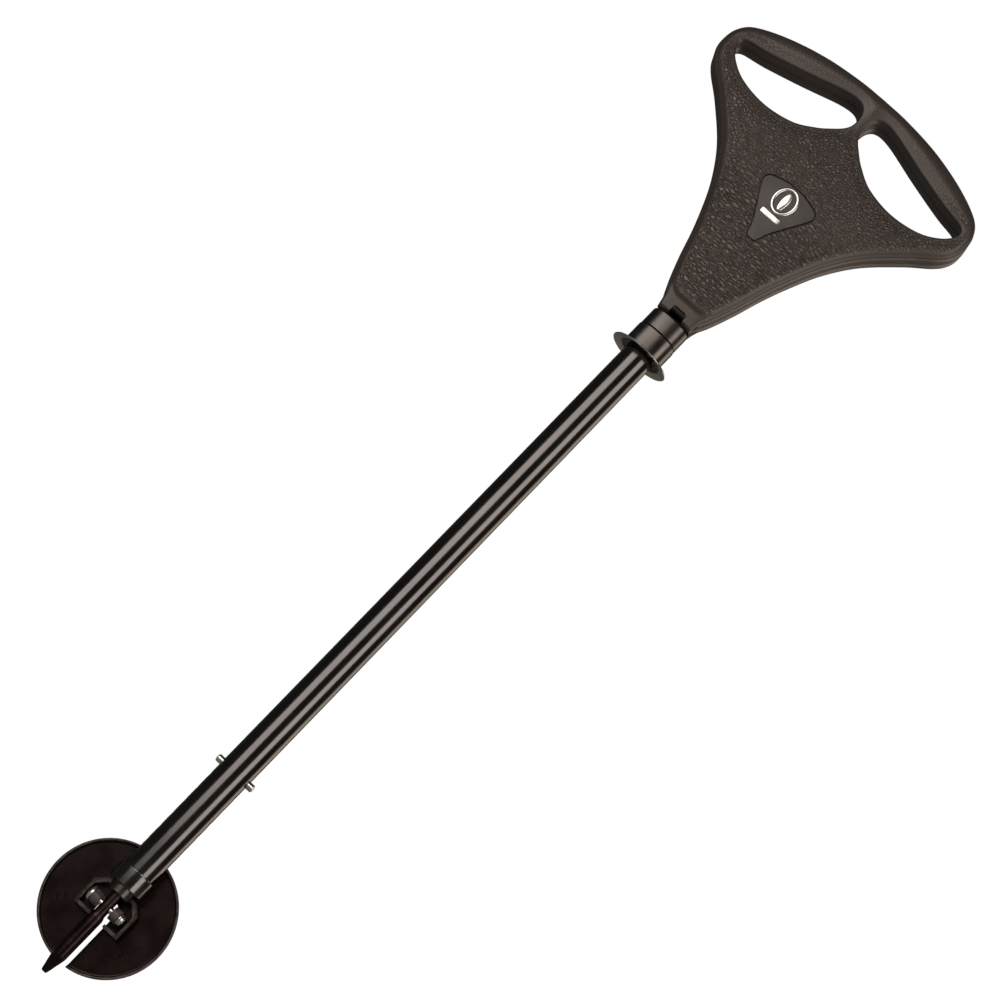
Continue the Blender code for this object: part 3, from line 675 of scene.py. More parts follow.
def turned(name: str, profile: Profile, segments: int = 96, axis: Axis = Axis.Z,
           place: Sequence[float] = (0, 0, 0), angle: float = 32.0) -> bpy.types.Object:
    """Turns a closed profile about an axis.

    Args:
        name: the object's name.
        profile: (radius, height) corners of the section, anticlockwise seen with the radius rightwards.
        segments: faces round the axis.
        axis: the axis of the turning.
        place: where the profile's origin goes.
        angle: edges sharper than this stay sharp, in degrees.

    Returns:
        The new object, shaded smooth.
    """
    bm = bmesh.new()
    rings = []
    for radius, height in profile:
        if radius < NEAR_ZERO:
            rings.append([bm.verts.new((0, 0, height))])
            continue
        angles = [2 * pi * i / segments for i in range(segments)]
        rings.append([bm.verts.new((radius * cos(a), radius * sin(a), height)) for a in angles])
    closed = len(rings[0]) > 1 or len(rings[-1]) > 1
    pairs = list(zip(rings, rings[1:])) + ([(rings[-1], rings[0])] if closed else [])
    for low, high in pairs:
        for i in range(segments):
            corners = [low[i % len(low)], low[(i + 1) % len(low)], high[(i + 1) % len(high)],
                       high[i % len(high)]]
            unique = list(dict.fromkeys(corners))
            if len(unique) > 2:
                bm.faces.new(unique)
    made = solid(name, bm)
    made.data.transform(Matrix.Translation(place) @ axis.turn())
    return smoothed(made, angle)


def drill(name: str, radius: float, reach: float, segments: int, axis: Axis,
          place: Sequence[float] = (0, 0, 0)) -> bpy.types.Object:
    """Builds a plain round cutter.

    Args:
        name: the cutter's name.
        radius: the hole's radius.
        reach: how far it goes each way from its place.
        segments: faces round it.
        axis: the hole's axis.
        place: its middle.

    Returns:
        The closed cutter.
    """
    return turned(name, [(0, -reach), (radius, -reach), (radius, reach), (0, reach)], segments, axis, place)


def oval(half: Sequence[float], squareness: float, count: int, turn: float = 0.0
         ) -> list[tuple[float, float]]:
    """Draws an oval or a rounded rectangle.

    Args:
        half: half its width and half its height.
        squareness: 2 for an oval, more for squarer corners.
        count: its number of points.
        turn: the first point's place, in steps between points.

    Returns:
        The points, anticlockwise.
    """
    angles = [2 * pi * (i + turn) / count for i in range(count)]
    return [tuple(float(np.sign(f) * size * abs(f) ** (2 / squareness))
                  for f, size in zip((cos(a), sin(a)), half)) for a in angles]


def rounded(corners: Profile, radius: float, steps: int = 4) -> list[tuple[float, float]]:
    """Rounds the corners of a closed section.

    Args:
        corners: the section's corners.
        radius: the rounding at each corner, kept under 0.45 of the shorter neighbouring side.
        steps: the points in each rounding.

    Returns:
        The rounded section. Corners on the axis stay as they are.
    """
    made = []
    count = len(corners)
    for i, corner in enumerate(corners):
        here = Vector(corner)
        before, after = Vector(corners[i - 1]), Vector(corners[(i + 1) % count])
        if corner[0] < NEAR_ZERO:
            made.append(corner)
            continue
        reach = min(radius, 0.45 * (before - here).length, 0.45 * (after - here).length)
        start = here + (before - here).normalized() * reach
        end = here + (after - here).normalized() * reach
        for k in range(steps + 1):
            t = k / steps
            point = start * (1 - t) ** 2 + here * 2 * t * (1 - t) + end * t ** 2
            made.append((point.x, point.y))
    return made


def combined(base: bpy.types.Object, tools: Sequence[bpy.types.Object], operation: str = "DIFFERENCE"
             ) -> bpy.types.Object:
    """Cuts tools from a solid, or joins them to it.

    Args:
        base: the solid that is kept.
        tools: the solids used on it, removed afterwards.
        operation: DIFFERENCE or UNION.

    Returns:
        The new plain object.
    """
    for tool in tools:
        step = base.modifiers.new(tool.name, "BOOLEAN")
        step.operation = operation
        step.solver = "EXACT"
        step.object = tool
    made = baked(base)
    for tool in tools:
        bpy.data.objects.remove(tool)
    return made


def prism(name: str, loop: Profile, low: float, high: float, face: Face) -> bpy.types.Object:
    """Extrudes a flat outline.

    Args:
        name: the object's name.
        loop: the outline's corners.
        low: one end of the extrusion.
        high: the other end.
        face: how the outline stands, such as facing or lengthways.

    Returns:
        The closed prism.
    """
    bm = bmesh.new()
    ends = [[bm.verts.new(face(u, v, depth)) for u, v in loop] for depth in (low, high)]
    bm.faces.new(ends[0])
    bm.faces.new(list(reversed(ends[1])))
    for i in range(len(loop)):
        k = (i + 1) % len(loop)
        bm.faces.new((ends[0][k], ends[0][i], ends[1][i], ends[1][k]))
    return solid(name, bm)


def bevelled(item: bpy.types.Object, width: float, segments: int = 3, angle: float = 35.0
             ) -> bpy.types.Object:
    """Bevels an object's sharp edges and returns the plain result, shaded smooth.

    Args:
        item: the object, which the result stands in for.
        width: the bevel's width.
        segments: faces across the bevel.
        angle: edges sharper than this are bevelled, in degrees.

    Returns:
        The plain object, shaded smooth.
    """
    step = item.modifiers.new("bevel", "BEVEL")
    step.width = width
    step.segments = segments
    step.limit_method = "ANGLE"
    step.angle_limit = radians(angle)
    return smoothed(baked(item), 50.0)


def spline(points: Sequence[tuple[float, float]], steps: int, closed: bool = False) -> list[Vector]:
    """Draws a Catmull-Rom curve through points.

    Args:
        points: the points it passes.
        steps: how many pieces each stretch is cut into.
        closed: whether the last point joins the first.

    Returns:
        The curve's points.
    """
    given = [Vector(p) for p in points]
    count = len(given)
    made = []
    for i in range(count if closed else count - 1):
        if closed:
            a, b, c, d = (given[(i + k) % count] for k in (-1, 0, 1, 2))
        else:
            b, c = given[i], given[i + 1]
            a = given[i - 1] if i else b * 2 - c
            d = given[i + 2] if i + 2 < count else c * 2 - b
        for k in range(steps):
            t = k / steps
            made.append(0.5 * (2 * b + (c - a) * t + (2 * a - 5 * b + 4 * c - d) * t ** 2
                               + (3 * b - a - 3 * c + d) * t ** 3))
    if not closed:
        made.append(given[-1])
    return made


def spaced(loop: Sequence[Vector], gap: float) -> np.ndarray:
    """Returns a closed loop's points again, evenly spaced by about gap.

    Args:
        loop: the loop's points.
        gap: the new spacing.

    Returns:
        The evenly spaced points.
    """
    points = np.array([(p.x, p.y) for p in loop])
    closed = np.vstack([points, points[:1]])
    lengths = np.r_[0, np.cumsum(np.linalg.norm(np.diff(closed, axis=0), axis=1))]
    count = max(8, int(round(lengths[-1] / gap)))
    at = np.linspace(0, lengths[-1], count, endpoint=False)
    return np.column_stack([np.interp(at, lengths, closed[:, i]) for i in (0, 1)])


def distances(points: np.ndarray, loop: np.ndarray) -> np.ndarray:
    """Returns each point's distance to a closed loop's line.

    Args:
        points: the places.
        loop: the closed loop.

    Returns:
        The distances.
    """
    start, end = loop, np.roll(loop, -1, axis=0)
    run = end - start
    square = (run ** 2).sum(1)
    best = np.full(len(points), 1e9)
    for low in range(0, len(points), 4000):
        part = points[low:low + 4000]
        offset = part[:, None, :] - start[None]
        t = np.clip((offset * run[None]).sum(2) / square, 0, 1)
        gap = offset - t[..., None] * run[None]
        best[low:low + 4000] = np.sqrt((gap ** 2).sum(2).min(1))
    return best


def inside(points: np.ndarray, loop: np.ndarray) -> np.ndarray:
    """Returns whether each point is inside a closed loop.

    Args:
        points: the places.
        loop: the closed loop.

    Returns:
        True for each place inside.
    """
    x, y = points[:, 0], points[:, 1]
    made = np.zeros(len(points), bool)
    for (x0, y0), (x1, y1) in zip(loop, np.roll(loop, -1, axis=0)):
        crosses = (y0 > y) != (y1 > y)
        with np.errstate(divide="ignore", invalid="ignore"):
            made ^= crosses & (x < (x1 - x0) * (y - y0) / (y1 - y0) + x0)
    return made


def moved_in(loop: np.ndarray, distance: float) -> np.ndarray:
    """Returns an anticlockwise loop's points moved inwards along their normals.

    Args:
        loop: the loop.
        distance: how far the points move.

    Returns:
        The moved points.
    """
    before, after = np.roll(loop, 1, axis=0), np.roll(loop, -1, axis=0)
    along = after - before
    along /= np.linalg.norm(along, axis=1)[:, None]
    return loop + np.column_stack([-along[:, 1], along[:, 0]]) * distance


def ease(value: np.ndarray, low: float, high: float) -> np.ndarray:
    """Returns a smooth step from 0 at low to 1 at high.

    Args:
        value: the numbers.
        low: where the step starts.
        high: where it ends.

    Returns:
        The steps, 0 to 1.
    """
    t = np.clip((value - low) / (high - low), 0, 1)
    return t * t * (3 - 2 * t)


def quarter(value: np.ndarray, reach: float) -> np.ndarray:
    """Returns a quarter-round rise from 0 at 0 to 1 at reach.

    Args:
        value: the numbers.
        reach: where the rise is full.

    Returns:
        The rises, 0 to 1.
    """
    t = np.clip(value / reach, 0, 1)
    return np.sqrt(np.clip(1 - (1 - t) ** 2, 0, 1))


def soft_min(first: np.ndarray, second: np.ndarray, width: float) -> np.ndarray:
    """Returns the lesser of two heights, rounded over width where they cross.

    Args:
        first: the first heights.
        second: the second heights.
        width: the rounding.

    Returns:
        The lesser heights.
    """
    h = np.clip(0.5 + 0.5 * (second - first) / width, 0, 1)
    return second * (1 - h) + first * h - width * h * (1 - h)


@dataclass(frozen=True)
class Bend:
    """A springy piece's second body, with a start and an end point."""

    body: Body
    start: Point
    end: Point


def show(piece: bpy.types.Object, body: Body, material: bpy.types.Material,
         nodes: Sequence[str], bend: Optional[Bend] = None) -> bpy.types.Object:
    """Dresses a finished piece and hands it to the frame.

    Args:
        piece: the finished mesh object.
        body: the body that it rides on.
        material: its material.
        nodes: the CAD nodes that it stands for.
        bend: a springy piece's second body and span, if it has one; when given, the piece's transform is
            baked in place of attaching it to body.

    Returns:
        The piece.
    """
    piece.data.materials.clear()
    piece.data.materials.append(material)
    if bend is None:
        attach(piece, body.value)
    else:
        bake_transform(piece)
    if nodes:
        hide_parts(*nodes)
    LOG.info("%s: %d faces on %s", piece.name, len(piece.data.polygons), body.value)
    return piece


def dress(node: str, material: bpy.types.Material) -> None:
    """Gives a CAD node that keeps its shape a new material.

    Args:
        node: the CAD node's name.
        material: its finish.
    """
    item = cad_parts[node]
    item.data.materials.clear()
    item.data.materials.append(material)
    LOG.info("%s: CAD shape, new finish %s", node, material.name)


# Geometry Nodes


class Pattern:
    """A Geometry Nodes tree that ends in Realize Instances and Set Material."""

    def __init__(self, name: str, sizes: dict[str, float]) -> None:
        """Starts the tree.

        Args:
            name: the tree's name.
            sizes: the named inputs and their values.
        """
        self.tree = bpy.data.node_groups.new(name, "GeometryNodeTree")
        self.sizes = sizes
        face = self.tree.interface
        face.new_socket("Geometry", in_out="INPUT", socket_type="NodeSocketGeometry")
        for title in sizes:
            face.new_socket(title, in_out="INPUT", socket_type="NodeSocketFloat")
        face.new_socket("Finish", in_out="INPUT", socket_type="NodeSocketMaterial")
        face.new_socket("Geometry", in_out="OUTPUT", socket_type="NodeSocketGeometry")
        self.given = self.tree.nodes.new("NodeGroupInput")
        self.result = self.tree.nodes.new("NodeGroupOutput")

    def node(self, kind: str, *links: tuple[object, bpy.types.NodeSocket], **settings: object
             ) -> bpy.types.Node:
        """Adds a node, with links as pairs of input and source socket, and returns it.

        Args:
            kind: the node's type name.
            links: pairs of input name and the socket that feeds it.
            settings: node properties, or input defaults where no property has that name.

        Returns:
            The new node.
        """
        made = self.tree.nodes.new(kind)
        for name, value in settings.items():
            if hasattr(made, name):
                setattr(made, name, value)
            else:
                made.inputs[name.replace("_", " ")].default_value = value
        for name, socket in links:
            self.tree.links.new(socket, made.inputs[name])
        return made

    def size(self, title: str) -> bpy.types.NodeSocket:
        """Returns the socket of a named input."""
        return self.given.outputs[title]

    def run(self, name: str, geometry: bpy.types.NodeSocket, material: bpy.types.Material,
            base: Optional[bpy.types.Mesh] = None) -> bpy.types.Object:
        """Ends the tree, runs it on an object and makes the result a plain mesh.

        Args:
            name: the piece's name.
            geometry: the last geometry socket.
            material: the finish that the tree sets.
            base: a mesh to work on, by default an empty one.

        Returns:
            The plain object.
        """
        real = self.node("GeometryNodeRealizeInstances", ("Geometry", geometry))
        finish = self.node("GeometryNodeSetMaterial", ("Geometry", real.outputs[0]),
                           ("Material", self.given.outputs["Finish"]))
        self.tree.links.new(finish.outputs[0], self.result.inputs["Geometry"])
        item = link(name + "_base", base or bpy.data.meshes.new(name))
        step = item.modifiers.new(self.tree.name, "NODES")
        step.node_group = self.tree
        for socket in self.tree.interface.items_tree:
            if socket.in_out == "INPUT" and socket.name in self.sizes:
                step[socket.identifier] = self.sizes[socket.name]
            elif socket.in_out == "INPUT" and socket.name == "Finish":
                step[socket.identifier] = material
        return baked(item, name)


@dataclass
class Coil:
    """A coil spring along X, swept round a spiral."""

    radius: float = 2.6 * MM
    wire: float = 0.45 * MM
    length: float = 5.0 * MM
    turns: float = 2.5

    def build(self, name: str, centre: Sequence[float], material: bpy.types.Material) -> bpy.types.Object:
        """Builds the spring.

        Args:
            name: the piece's name.
            centre: the middle of the spring.
            material: its finish.

        Returns:
            The plain mesh.
        """
        pattern = Pattern("coil", {"Radius": self.radius, "Wire": self.wire, "Length": self.length,
                                   "Turns": self.turns})
        spiral = pattern.node("GeometryNodeCurveSpiral", ("Start Radius", pattern.size("Radius")),
                              ("End Radius", pattern.size("Radius")), ("Height", pattern.size("Length")),
                              ("Rotations", pattern.size("Turns")), Resolution=28)
        section = pattern.node("GeometryNodeCurvePrimitiveCircle", ("Radius", pattern.size("Wire")),
                               Resolution=10)
        swept = pattern.node("GeometryNodeCurveToMesh", ("Curve", spiral.outputs[0]),
                             ("Profile Curve", section.outputs[0]), Fill_Caps=True)
        made = pattern.run(name, swept.outputs[0], material)
        made.data.transform(Matrix.Translation(centre) @ Axis.X.turn()
                            @ Matrix.Translation((0, 0, -self.length / 2)))
        return smoothed(made)


@dataclass
class Screws:
    """A set of countersunk cross-head screws, one head instanced on given points."""

    head_radius: float = 2.7 * MM
    shank_radius: float = 1.25 * MM
    length: float = 7.6 * MM
    slot_depth: float = 1.0 * MM
    seed: int = 3

    def head(self) -> bpy.types.Object:
        """Builds one screw pointing along -Z, its head's top at the origin."""
        body = turned("screw_head", rounded([
            (0, -self.length), (0.4 * MM, -self.length), (self.shank_radius, -self.length + 0.9 * MM),
            (self.shank_radius, -1.7 * MM), (self.head_radius, -0.25 * MM), (self.head_radius, -0.05 * MM),
            (0, 0)], 0.12 * MM, 2), 32)
        arm, half = 1.7 * MM, 0.32 * MM
        bars = []
        for i, (u, v) in enumerate(((arm, half), (half, arm))):
            loop = [(-u, -v), (u, -v), (u, v), (-u, v)]
            bars.append(prism(f"cross_{i}", loop, -self.slot_depth, self.slot_depth, flat))
        return smoothed(combined(body, bars), 30.0)

    def build(self, name: str, points: Sequence[Sequence[float]], place: Matrix,
              material: bpy.types.Material) -> bpy.types.Object:
        """Instances the screw on points of the leaf's inner face.

        Args:
            name: the piece's name.
            points: the heads' centres, in the leaf's hinge coordinates.
            place: the leaf's place.
            material: the screws' finish.

        Returns:
            The plain mesh of all the screws.
        """
        head = self.head()
        head.data.transform(Matrix.Rotation(-pi / 2, 4, "X"))
        pattern = Pattern("screws", {"Seed": float(self.seed), "Turn": pi / 2})
        source = pattern.node("GeometryNodeObjectInfo")
        source.inputs["Object"].default_value = head
        chance = pattern.node("FunctionNodeRandomValue", data_type="FLOAT")
        pattern.tree.links.new(pattern.size("Turn"), chance.inputs[3])
        chance.inputs[2].default_value = 0.0
        pattern.tree.links.new(pattern.size("Seed"), chance.inputs["Seed"])
        turn = pattern.node("ShaderNodeCombineXYZ")
        pattern.tree.links.new(chance.outputs[1], turn.inputs["Y"])
        placed = pattern.node("GeometryNodeInstanceOnPoints", ("Points", pattern.size("Geometry")),
                              ("Instance", source.outputs["Geometry"]), ("Rotation", turn.outputs[0]))
        made = pattern.run(name, placed.outputs[0], material, spots("screw_spots", points))
        bpy.data.objects.remove(head)
        made.data.transform(place)
        return made


# Sub-assemblies


@dataclass
class SeatLeaf:
    """One seat leaf: a grained shell with a raised cushion, its inner seat panel, badge and screws."""

    side: Side
    pin_y: float = LEAF_PIN_Y
    pin_z: float = LEAF_PIN_Z
    pin_bore: float = 2.8 * MM
    knuckle_radius: float = 6.52 * MM
    notch_half: float = 6.4 * MM
    notch_radius: float = 5.4 * MM
    inner_face: float = 6.6 * MM
    wall_top: float = 2.6 * MM
    rim_height: float = 5.3 * MM
    knuckle_height: float = 6.3 * MM
    knuckle_top: float = 673.4 * MM
    crest_height: float = 9.2 * MM
    slot_height: float = 7.4 * MM
    slot_rounding: float = 1.8 * MM
    grain_from: float = 674.0 * MM
    bar_z: float = 858.0 * MM
    panel_low: float = 676.0 * MM
    panel_high: float = 816.0 * MM
    panel_top: float = 838.0 * MM
    panel_inset: float = 4.0 * MM
    badge_middle: float = 783.5 * MM
    ring_half: tuple[float, float] = (8.9 * MM, 11.1 * MM)
    ring_wire: float = 1.3 * MM
    outline: Profile = (
        (15.5, 657.9), (17.6, 667.0), (22.6, 678.0), (29.6, 697.5), (36.8, 721.0), (45.9, 745.0),
        (57.0, 769.0), (73.2, 793.0), (97.0, 817.0), (114.5, 832.0), (121.6, 842.0), (123.2, 853.0),
        (121.0, 865.0), (112.0, 876.2), (88.0, 887.4), (56.0, 896.2), (24.0, 900.3), (0.0, 901.0))
    finger_slot: Profile = (
        (3.8, 870.0), (6.5, 862.0), (14.0, 854.0), (24.0, 845.8), (40.0, 837.0), (64.0, 833.0),
        (88.0, 836.4), (104.0, 845.0), (111.6, 855.0), (109.0, 862.0), (88.0, 866.4), (56.0, 875.0),
        (26.0, 884.0), (12.0, 885.2), (5.5, 880.0))
    badge_outline: Profile = (
        (0.0, 743.0), (3.4, 743.5), (5.4, 746.6), (9.6, 757.6), (20.8, 777.6), (24.9, 785.4), (25.4, 788.4),
        (23.8, 791.6), (20.4, 794.0), (9.0, 797.2), (0.0, 797.8))

    def __post_init__(self) -> None:
        """Works out the loops that the meshes are drawn through."""
        self.place = self.side.place(self.pin_y, self.pin_z)
        self.edge = spaced(self.whole(self.outline, 8), 1.15 * MM)
        hole = spaced([self.local(p) for p in spline(self.finger_slot, 8, True)], 1.15 * MM)
        self.holes = [hole, (hole * np.array([-1, 1]))[::-1]]
        self.badge = spaced(self.whole(self.badge_outline, 6), 0.6 * MM)

    def local(self, point: Sequence[float]) -> Vector:
        """Returns an outline point, given in millimetres over the tip, from the hinge axis."""
        return Vector((point[0] * MM, point[1] * MM - self.pin_z))

    def whole(self, half: Profile, steps: int) -> list[Vector]:
        """Returns the closed anticlockwise loop of a half outline given bottom to top on +X."""
        right = [self.local(p) for p in spline(half, steps)]
        return right + self.mirrored(right)

    @staticmethod
    def mirrored(right: Sequence[Vector]) -> list[Vector]:
        """Returns a right half's points mirrored to the left, in the order that closes the loop."""
        return [Vector((-p.x, p.y)) for p in reversed(right) if p.x > 1e-9]

    def slot_distance(self, points: np.ndarray) -> np.ndarray:
        """Returns each point's distance to the nearer finger slot's edge."""
        return np.minimum(*(distances(points, hole) for hole in self.holes))

    def crest(self, points: np.ndarray) -> np.ndarray:
        """Gives the outer face's height over the hinge axis.

        Args:
            points: (x, z) places on the leaf, from the hinge axis.

        Returns:
            The heights, measured away from the other leaf.
        """
        rim = distances(points, self.edge)
        slot = self.slot_distance(points)
        rise = self.crest_height - self.rim_height
        outer = self.wall_top + (self.rim_height - self.wall_top) * quarter(rim, 3.2 * MM)
        outer = outer + rise * quarter(rim - 2.6 * MM, 13.0 * MM)
        inner = self.slot_height - self.slot_rounding * (1 - quarter(slot, self.slot_rounding))
        inner = inner + (self.crest_height - self.slot_height) * ease(slot, 1.0 * MM, 13.0 * MM)
        height = soft_min(outer, inner, 0.7 * MM)
        z = points[:, 1] + self.pin_z
        across = np.abs(points[:, 0])
        lip = self.knuckle_top + 3.5 * MM * np.clip((across - 9 * MM) / (8 * MM), 0, 2) ** 2
        low = self.knuckle_height - 0.12 * np.clip(lip - z, 0, 9 * MM)
        step = low + (self.crest_height - low) * quarter(z - lip, 3.0 * MM)
        return soft_min(height, step, 0.25 * MM)

    def grain(self, points: np.ndarray) -> np.ndarray:
        """Returns how much leather grain the outer face shows at each place, 0 to 1.

        Args:
            points: (x, z) places on the leaf, from the hinge axis.

        Returns:
            The share of the grain, 0 to 1.
        """
        rim = distances(points, self.edge)
        slot = self.slot_distance(points)
        z = points[:, 1] + self.pin_z
        made = ease(rim, 3.5 * MM, 8.5 * MM) * ease(slot, 1.0 * MM, 4.5 * MM)
        made = made * ease(z, self.grain_from, self.grain_from + 6 * MM)
        bar = ease(z - (self.bar_z + np.abs(points[:, 0]) * 0.05), 0.0, 14 * MM)
        made = made * (1 - 0.85 * bar)
        in_badge = np.where(inside(points, self.badge), 0.0, 1.0)
        return np.clip(made, 0, 1) * in_badge

    def sheet(self, loops: list[np.ndarray], spare: np.ndarray) -> tuple[np.ndarray, list[tuple[int, ...]]]:
        """Triangulates the leaf's outline with its holes.

        Args:
            loops: the boundary loops, the outline first, then lines that the triangles follow.
            spare: further points inside it.

        Returns:
            The points, boundary loops first, and the triangles.
        """
        points: list[Vector] = []
        edges = []
        for loop in loops:
            start = len(points)
            points += [Vector(p) for p in loop]
            edges += [(start + i, start + (i + 1) % len(loop)) for i in range(len(loop))]
        points += [Vector(p) for p in spare]
        made = delaunay_2d_cdt(points, edges, [], 0, NEAR_ZERO)
        out = np.array([tuple(p) for p in made[0]])
        faces = np.array([f for f in made[2] if len(f) == 3])
        middle = out[faces].mean(1)
        keep = inside(middle, self.edge)
        for hole in self.holes:
            keep &= ~inside(middle, hole)
        faces = faces[keep]
        a, b, c = (out[faces[:, i]] for i in range(3))
        area = (b[:, 0] - a[:, 0]) * (c[:, 1] - a[:, 1]) - (b[:, 1] - a[:, 1]) * (c[:, 0] - a[:, 0])
        faces = faces[np.abs(area) > SLIVER]
        return out, [tuple(f) for f in faces.tolist()]

    def lattice(self, gap: float, clear: float) -> np.ndarray:
        """Returns evenly spread points on the leaf, at least clear from its edges.

        Args:
            gap: the spacing.
            clear: the least distance from an edge.

        Returns:
            The points.
        """
        low, high = self.edge.min(0), self.edge.max(0)
        rows = np.arange(low[1], high[1], gap * 0.87)
        parts = []
        for i, y in enumerate(rows):
            x = np.arange(low[0] + (gap / 2 if i % 2 else 0), high[0], gap)
            parts.append(np.column_stack([x, np.full(len(x), y)]))
        points = np.vstack(parts)
        points = points[inside(points, self.edge)]
        for hole in self.holes:
            points = points[~inside(points, hole)]
        return points[np.minimum(distances(points, self.edge), self.slot_distance(points)) > clear]

    def shell(self) -> bpy.types.Object:
        """Builds the shell: a heightfield face, side walls and a flat back, with the knuckle cut."""
        bounds = [self.edge] + self.holes
        rings = []
        for depth in (0.25 * MM, 0.6 * MM, 1.1 * MM, 1.8 * MM, 2.8 * MM, 4.0 * MM):
            rings.append(moved_in(self.edge, depth))
            if depth < 3.0 * MM:
                rings += [moved_in(hole, -depth) for hole in self.holes]
        front, front_faces = self.sheet(bounds + rings, self.lattice(1.7 * MM, 4.9 * MM))
        back, back_faces = self.sheet(bounds, self.lattice(9.0 * MM, 6.0 * MM))
        heights = self.crest(front)
        verts = [(x, -h, z) for (x, z), h in zip(front, heights)]
        base = len(verts)
        verts += [(x, self.inner_face, z) for x, z in back]
        faces = list(front_faces) + [tuple(base + i for i in f) for f in back_faces]
        lower = self.inner_face - 0.8 * MM
        start = 0
        for loop, sign in zip(bounds, (1, -1, -1)):
            size = len(loop)
            waist = len(verts)
            verts += [(x, lower, z) for x, z in loop]
            for i in range(size):
                k = (i + 1) % size
                faces.append((start + i, start + k, waist + k, waist + i))
                faces.append((waist + i, waist + k, base + start + k, base + start + i))
            inner = moved_in(loop, 0.7 * MM * sign)
            for i in range(size):
                x, z = inner[i]
                verts[base + start + i] = (x, self.inner_face, z)
            start += size
        mesh = bpy.data.meshes.new("leaf_shell")
        mesh.from_pydata(verts, [], faces)
        bm = bmesh.new()
        bm.from_mesh(mesh)
        bmesh.ops.remove_doubles(bm, verts=bm.verts, dist=NEAR_ZERO)
        return combined(solid(f"{self.side.value}_leaf", bm), self.cutters())

    def cutters(self) -> list[bpy.types.Object]:
        """Returns the solids that shape the knuckle, the panel's recess and the badge's recess."""
        far, lip = 20 * MM, 0.5 * MM
        radius, room = self.knuckle_radius, self.notch_radius
        arc = [(radius * cos(a), radius * sin(a)) for a in np.linspace(pi, 2 * pi, 33)]
        below = arc + [(far, 0.0), (far, -far), (-far, -far), (-far, 0.0)]
        start = asin(lip / room)
        notch = [(far, room)] + [(room * cos(a), room * sin(a)) for a in np.linspace(pi / 2, pi - start, 17)]
        notch += [(-far, lip), (-far, -far), (far, -far)]
        inner, face = self.inner_face, -self.crest_height
        groove = [tuple(p) for p in self.badge]
        return [prism("knuckle_round", below, -30 * MM, 30 * MM, lengthways),
                prism("notch", notch, -self.notch_half, self.notch_half, lengthways),
                drill("pin_bore", self.pin_bore, far, 32, Axis.X),
                prism("panel_recess", self.panel_loop(1.0), inner + 1 * MM, inner - 2.7 * MM, facing),
                prism("badge_recess", groove, face - 1 * MM, face + 1.7 * MM, facing)]

    def panel_loop(self, fit: float) -> list[tuple[float, float]]:
        """Returns the seat panel's outline, scaled about its middle by fit.

        Args:
            fit: 1 for the recess, a little less for the panel in it.

        Returns:
            The closed outline.
        """
        half = [p for p in self.whole(self.outline, 8)[:len(self.outline) * 8 - 7]
                if self.panel_low <= p.y + self.pin_z <= self.panel_high]
        loop = np.array([(p.x, p.y) for p in half])
        along = np.gradient(loop, axis=0)
        along /= np.linalg.norm(along, axis=1)[:, None]
        loop = loop + np.column_stack([-along[:, 1], along[:, 0]]) * self.panel_inset
        top = self.panel_top - self.pin_z
        corner = loop[-1]
        crown = spline([tuple(corner), (corner[0] * 0.72, corner[1] + 1.0 * MM),
                        (corner[0] * 0.3, top - 9.0 * MM), (0.0, top)], 6)
        right = [Vector(p) for p in loop] + crown[1:]
        middle = (right[0].y + top) / 2
        closed = right + self.mirrored(right)
        return [(p.x * fit, middle + (p.y - middle) * fit) for p in closed]

    def build_shell(self) -> bpy.types.Object:
        """Builds and dresses the shell."""
        shell = self.shell()
        mesh = shell.data
        co = np.zeros(len(mesh.vertices) * 3)
        mesh.vertices.foreach_get("co", co)
        co = co.reshape(-1, 3)
        grain = self.grain(co[:, [0, 2]])
        outward = ease(-co[:, 1], 3.0 * MM, 6.0 * MM)
        attribute = mesh.attributes.new("grain", "FLOAT", "POINT")
        attribute.data.foreach_set("value", (grain * outward).astype(np.float32))
        mesh.transform(self.place)
        mesh.shade_smooth()
        mesh.set_sharp_from_angle(angle=radians(38.0))
        return show(shell, self.side.body, LEAF_FINISH.material(),
                    [f"{self.side.value}_leaf_shell"])

    def build_panel(self) -> bpy.types.Object:
        """Builds the inner seat panel with a rounded edge and sunk screw seats."""
        face = self.inner_face
        loop = self.panel_loop(0.992)
        panel = prism(f"{self.side.value}_seat_panel", loop, face, face - 2.4 * MM, facing)
        sink = [(0, -0.5 * MM), (3.6 * MM, -0.5 * MM), (3.3 * MM, 0.0), (1.6 * MM, 1.9 * MM),
                (1.6 * MM, 4.0 * MM), (0, 4.0 * MM)]
        tools = []
        for i, (x, z) in enumerate(self.screw_points()):
            tool = turned(f"sink_{i}", sink, 32, Axis.Y, (x, face, z))
            tool.data.transform(Matrix.Translation((0, 2 * face, 0)) @ Matrix.Scale(-1, 4, (0, 1, 0)))
            tool.data.flip_normals()
            tools.append(tool)
        panel = combined(panel, tools)
        panel = bevelled(panel, 0.5 * MM, 3, 50.0)
        panel.data.transform(self.place)
        return show(panel, self.side.body, SEAT_FINISH.material(),
                    [f"{self.side.value}_seat_cover"])

    def screw_points(self) -> list[tuple[float, float]]:
        """Returns the panel screws' places, read from the CAD screws' boxes."""
        made = []
        for i in range(1, 5):
            low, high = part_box(f"{self.side.value}_cover_screw_{i}")
            middle = self.place.inverted() @ ((low + high) / 2)
            made.append((middle.x, middle.z))
        return made

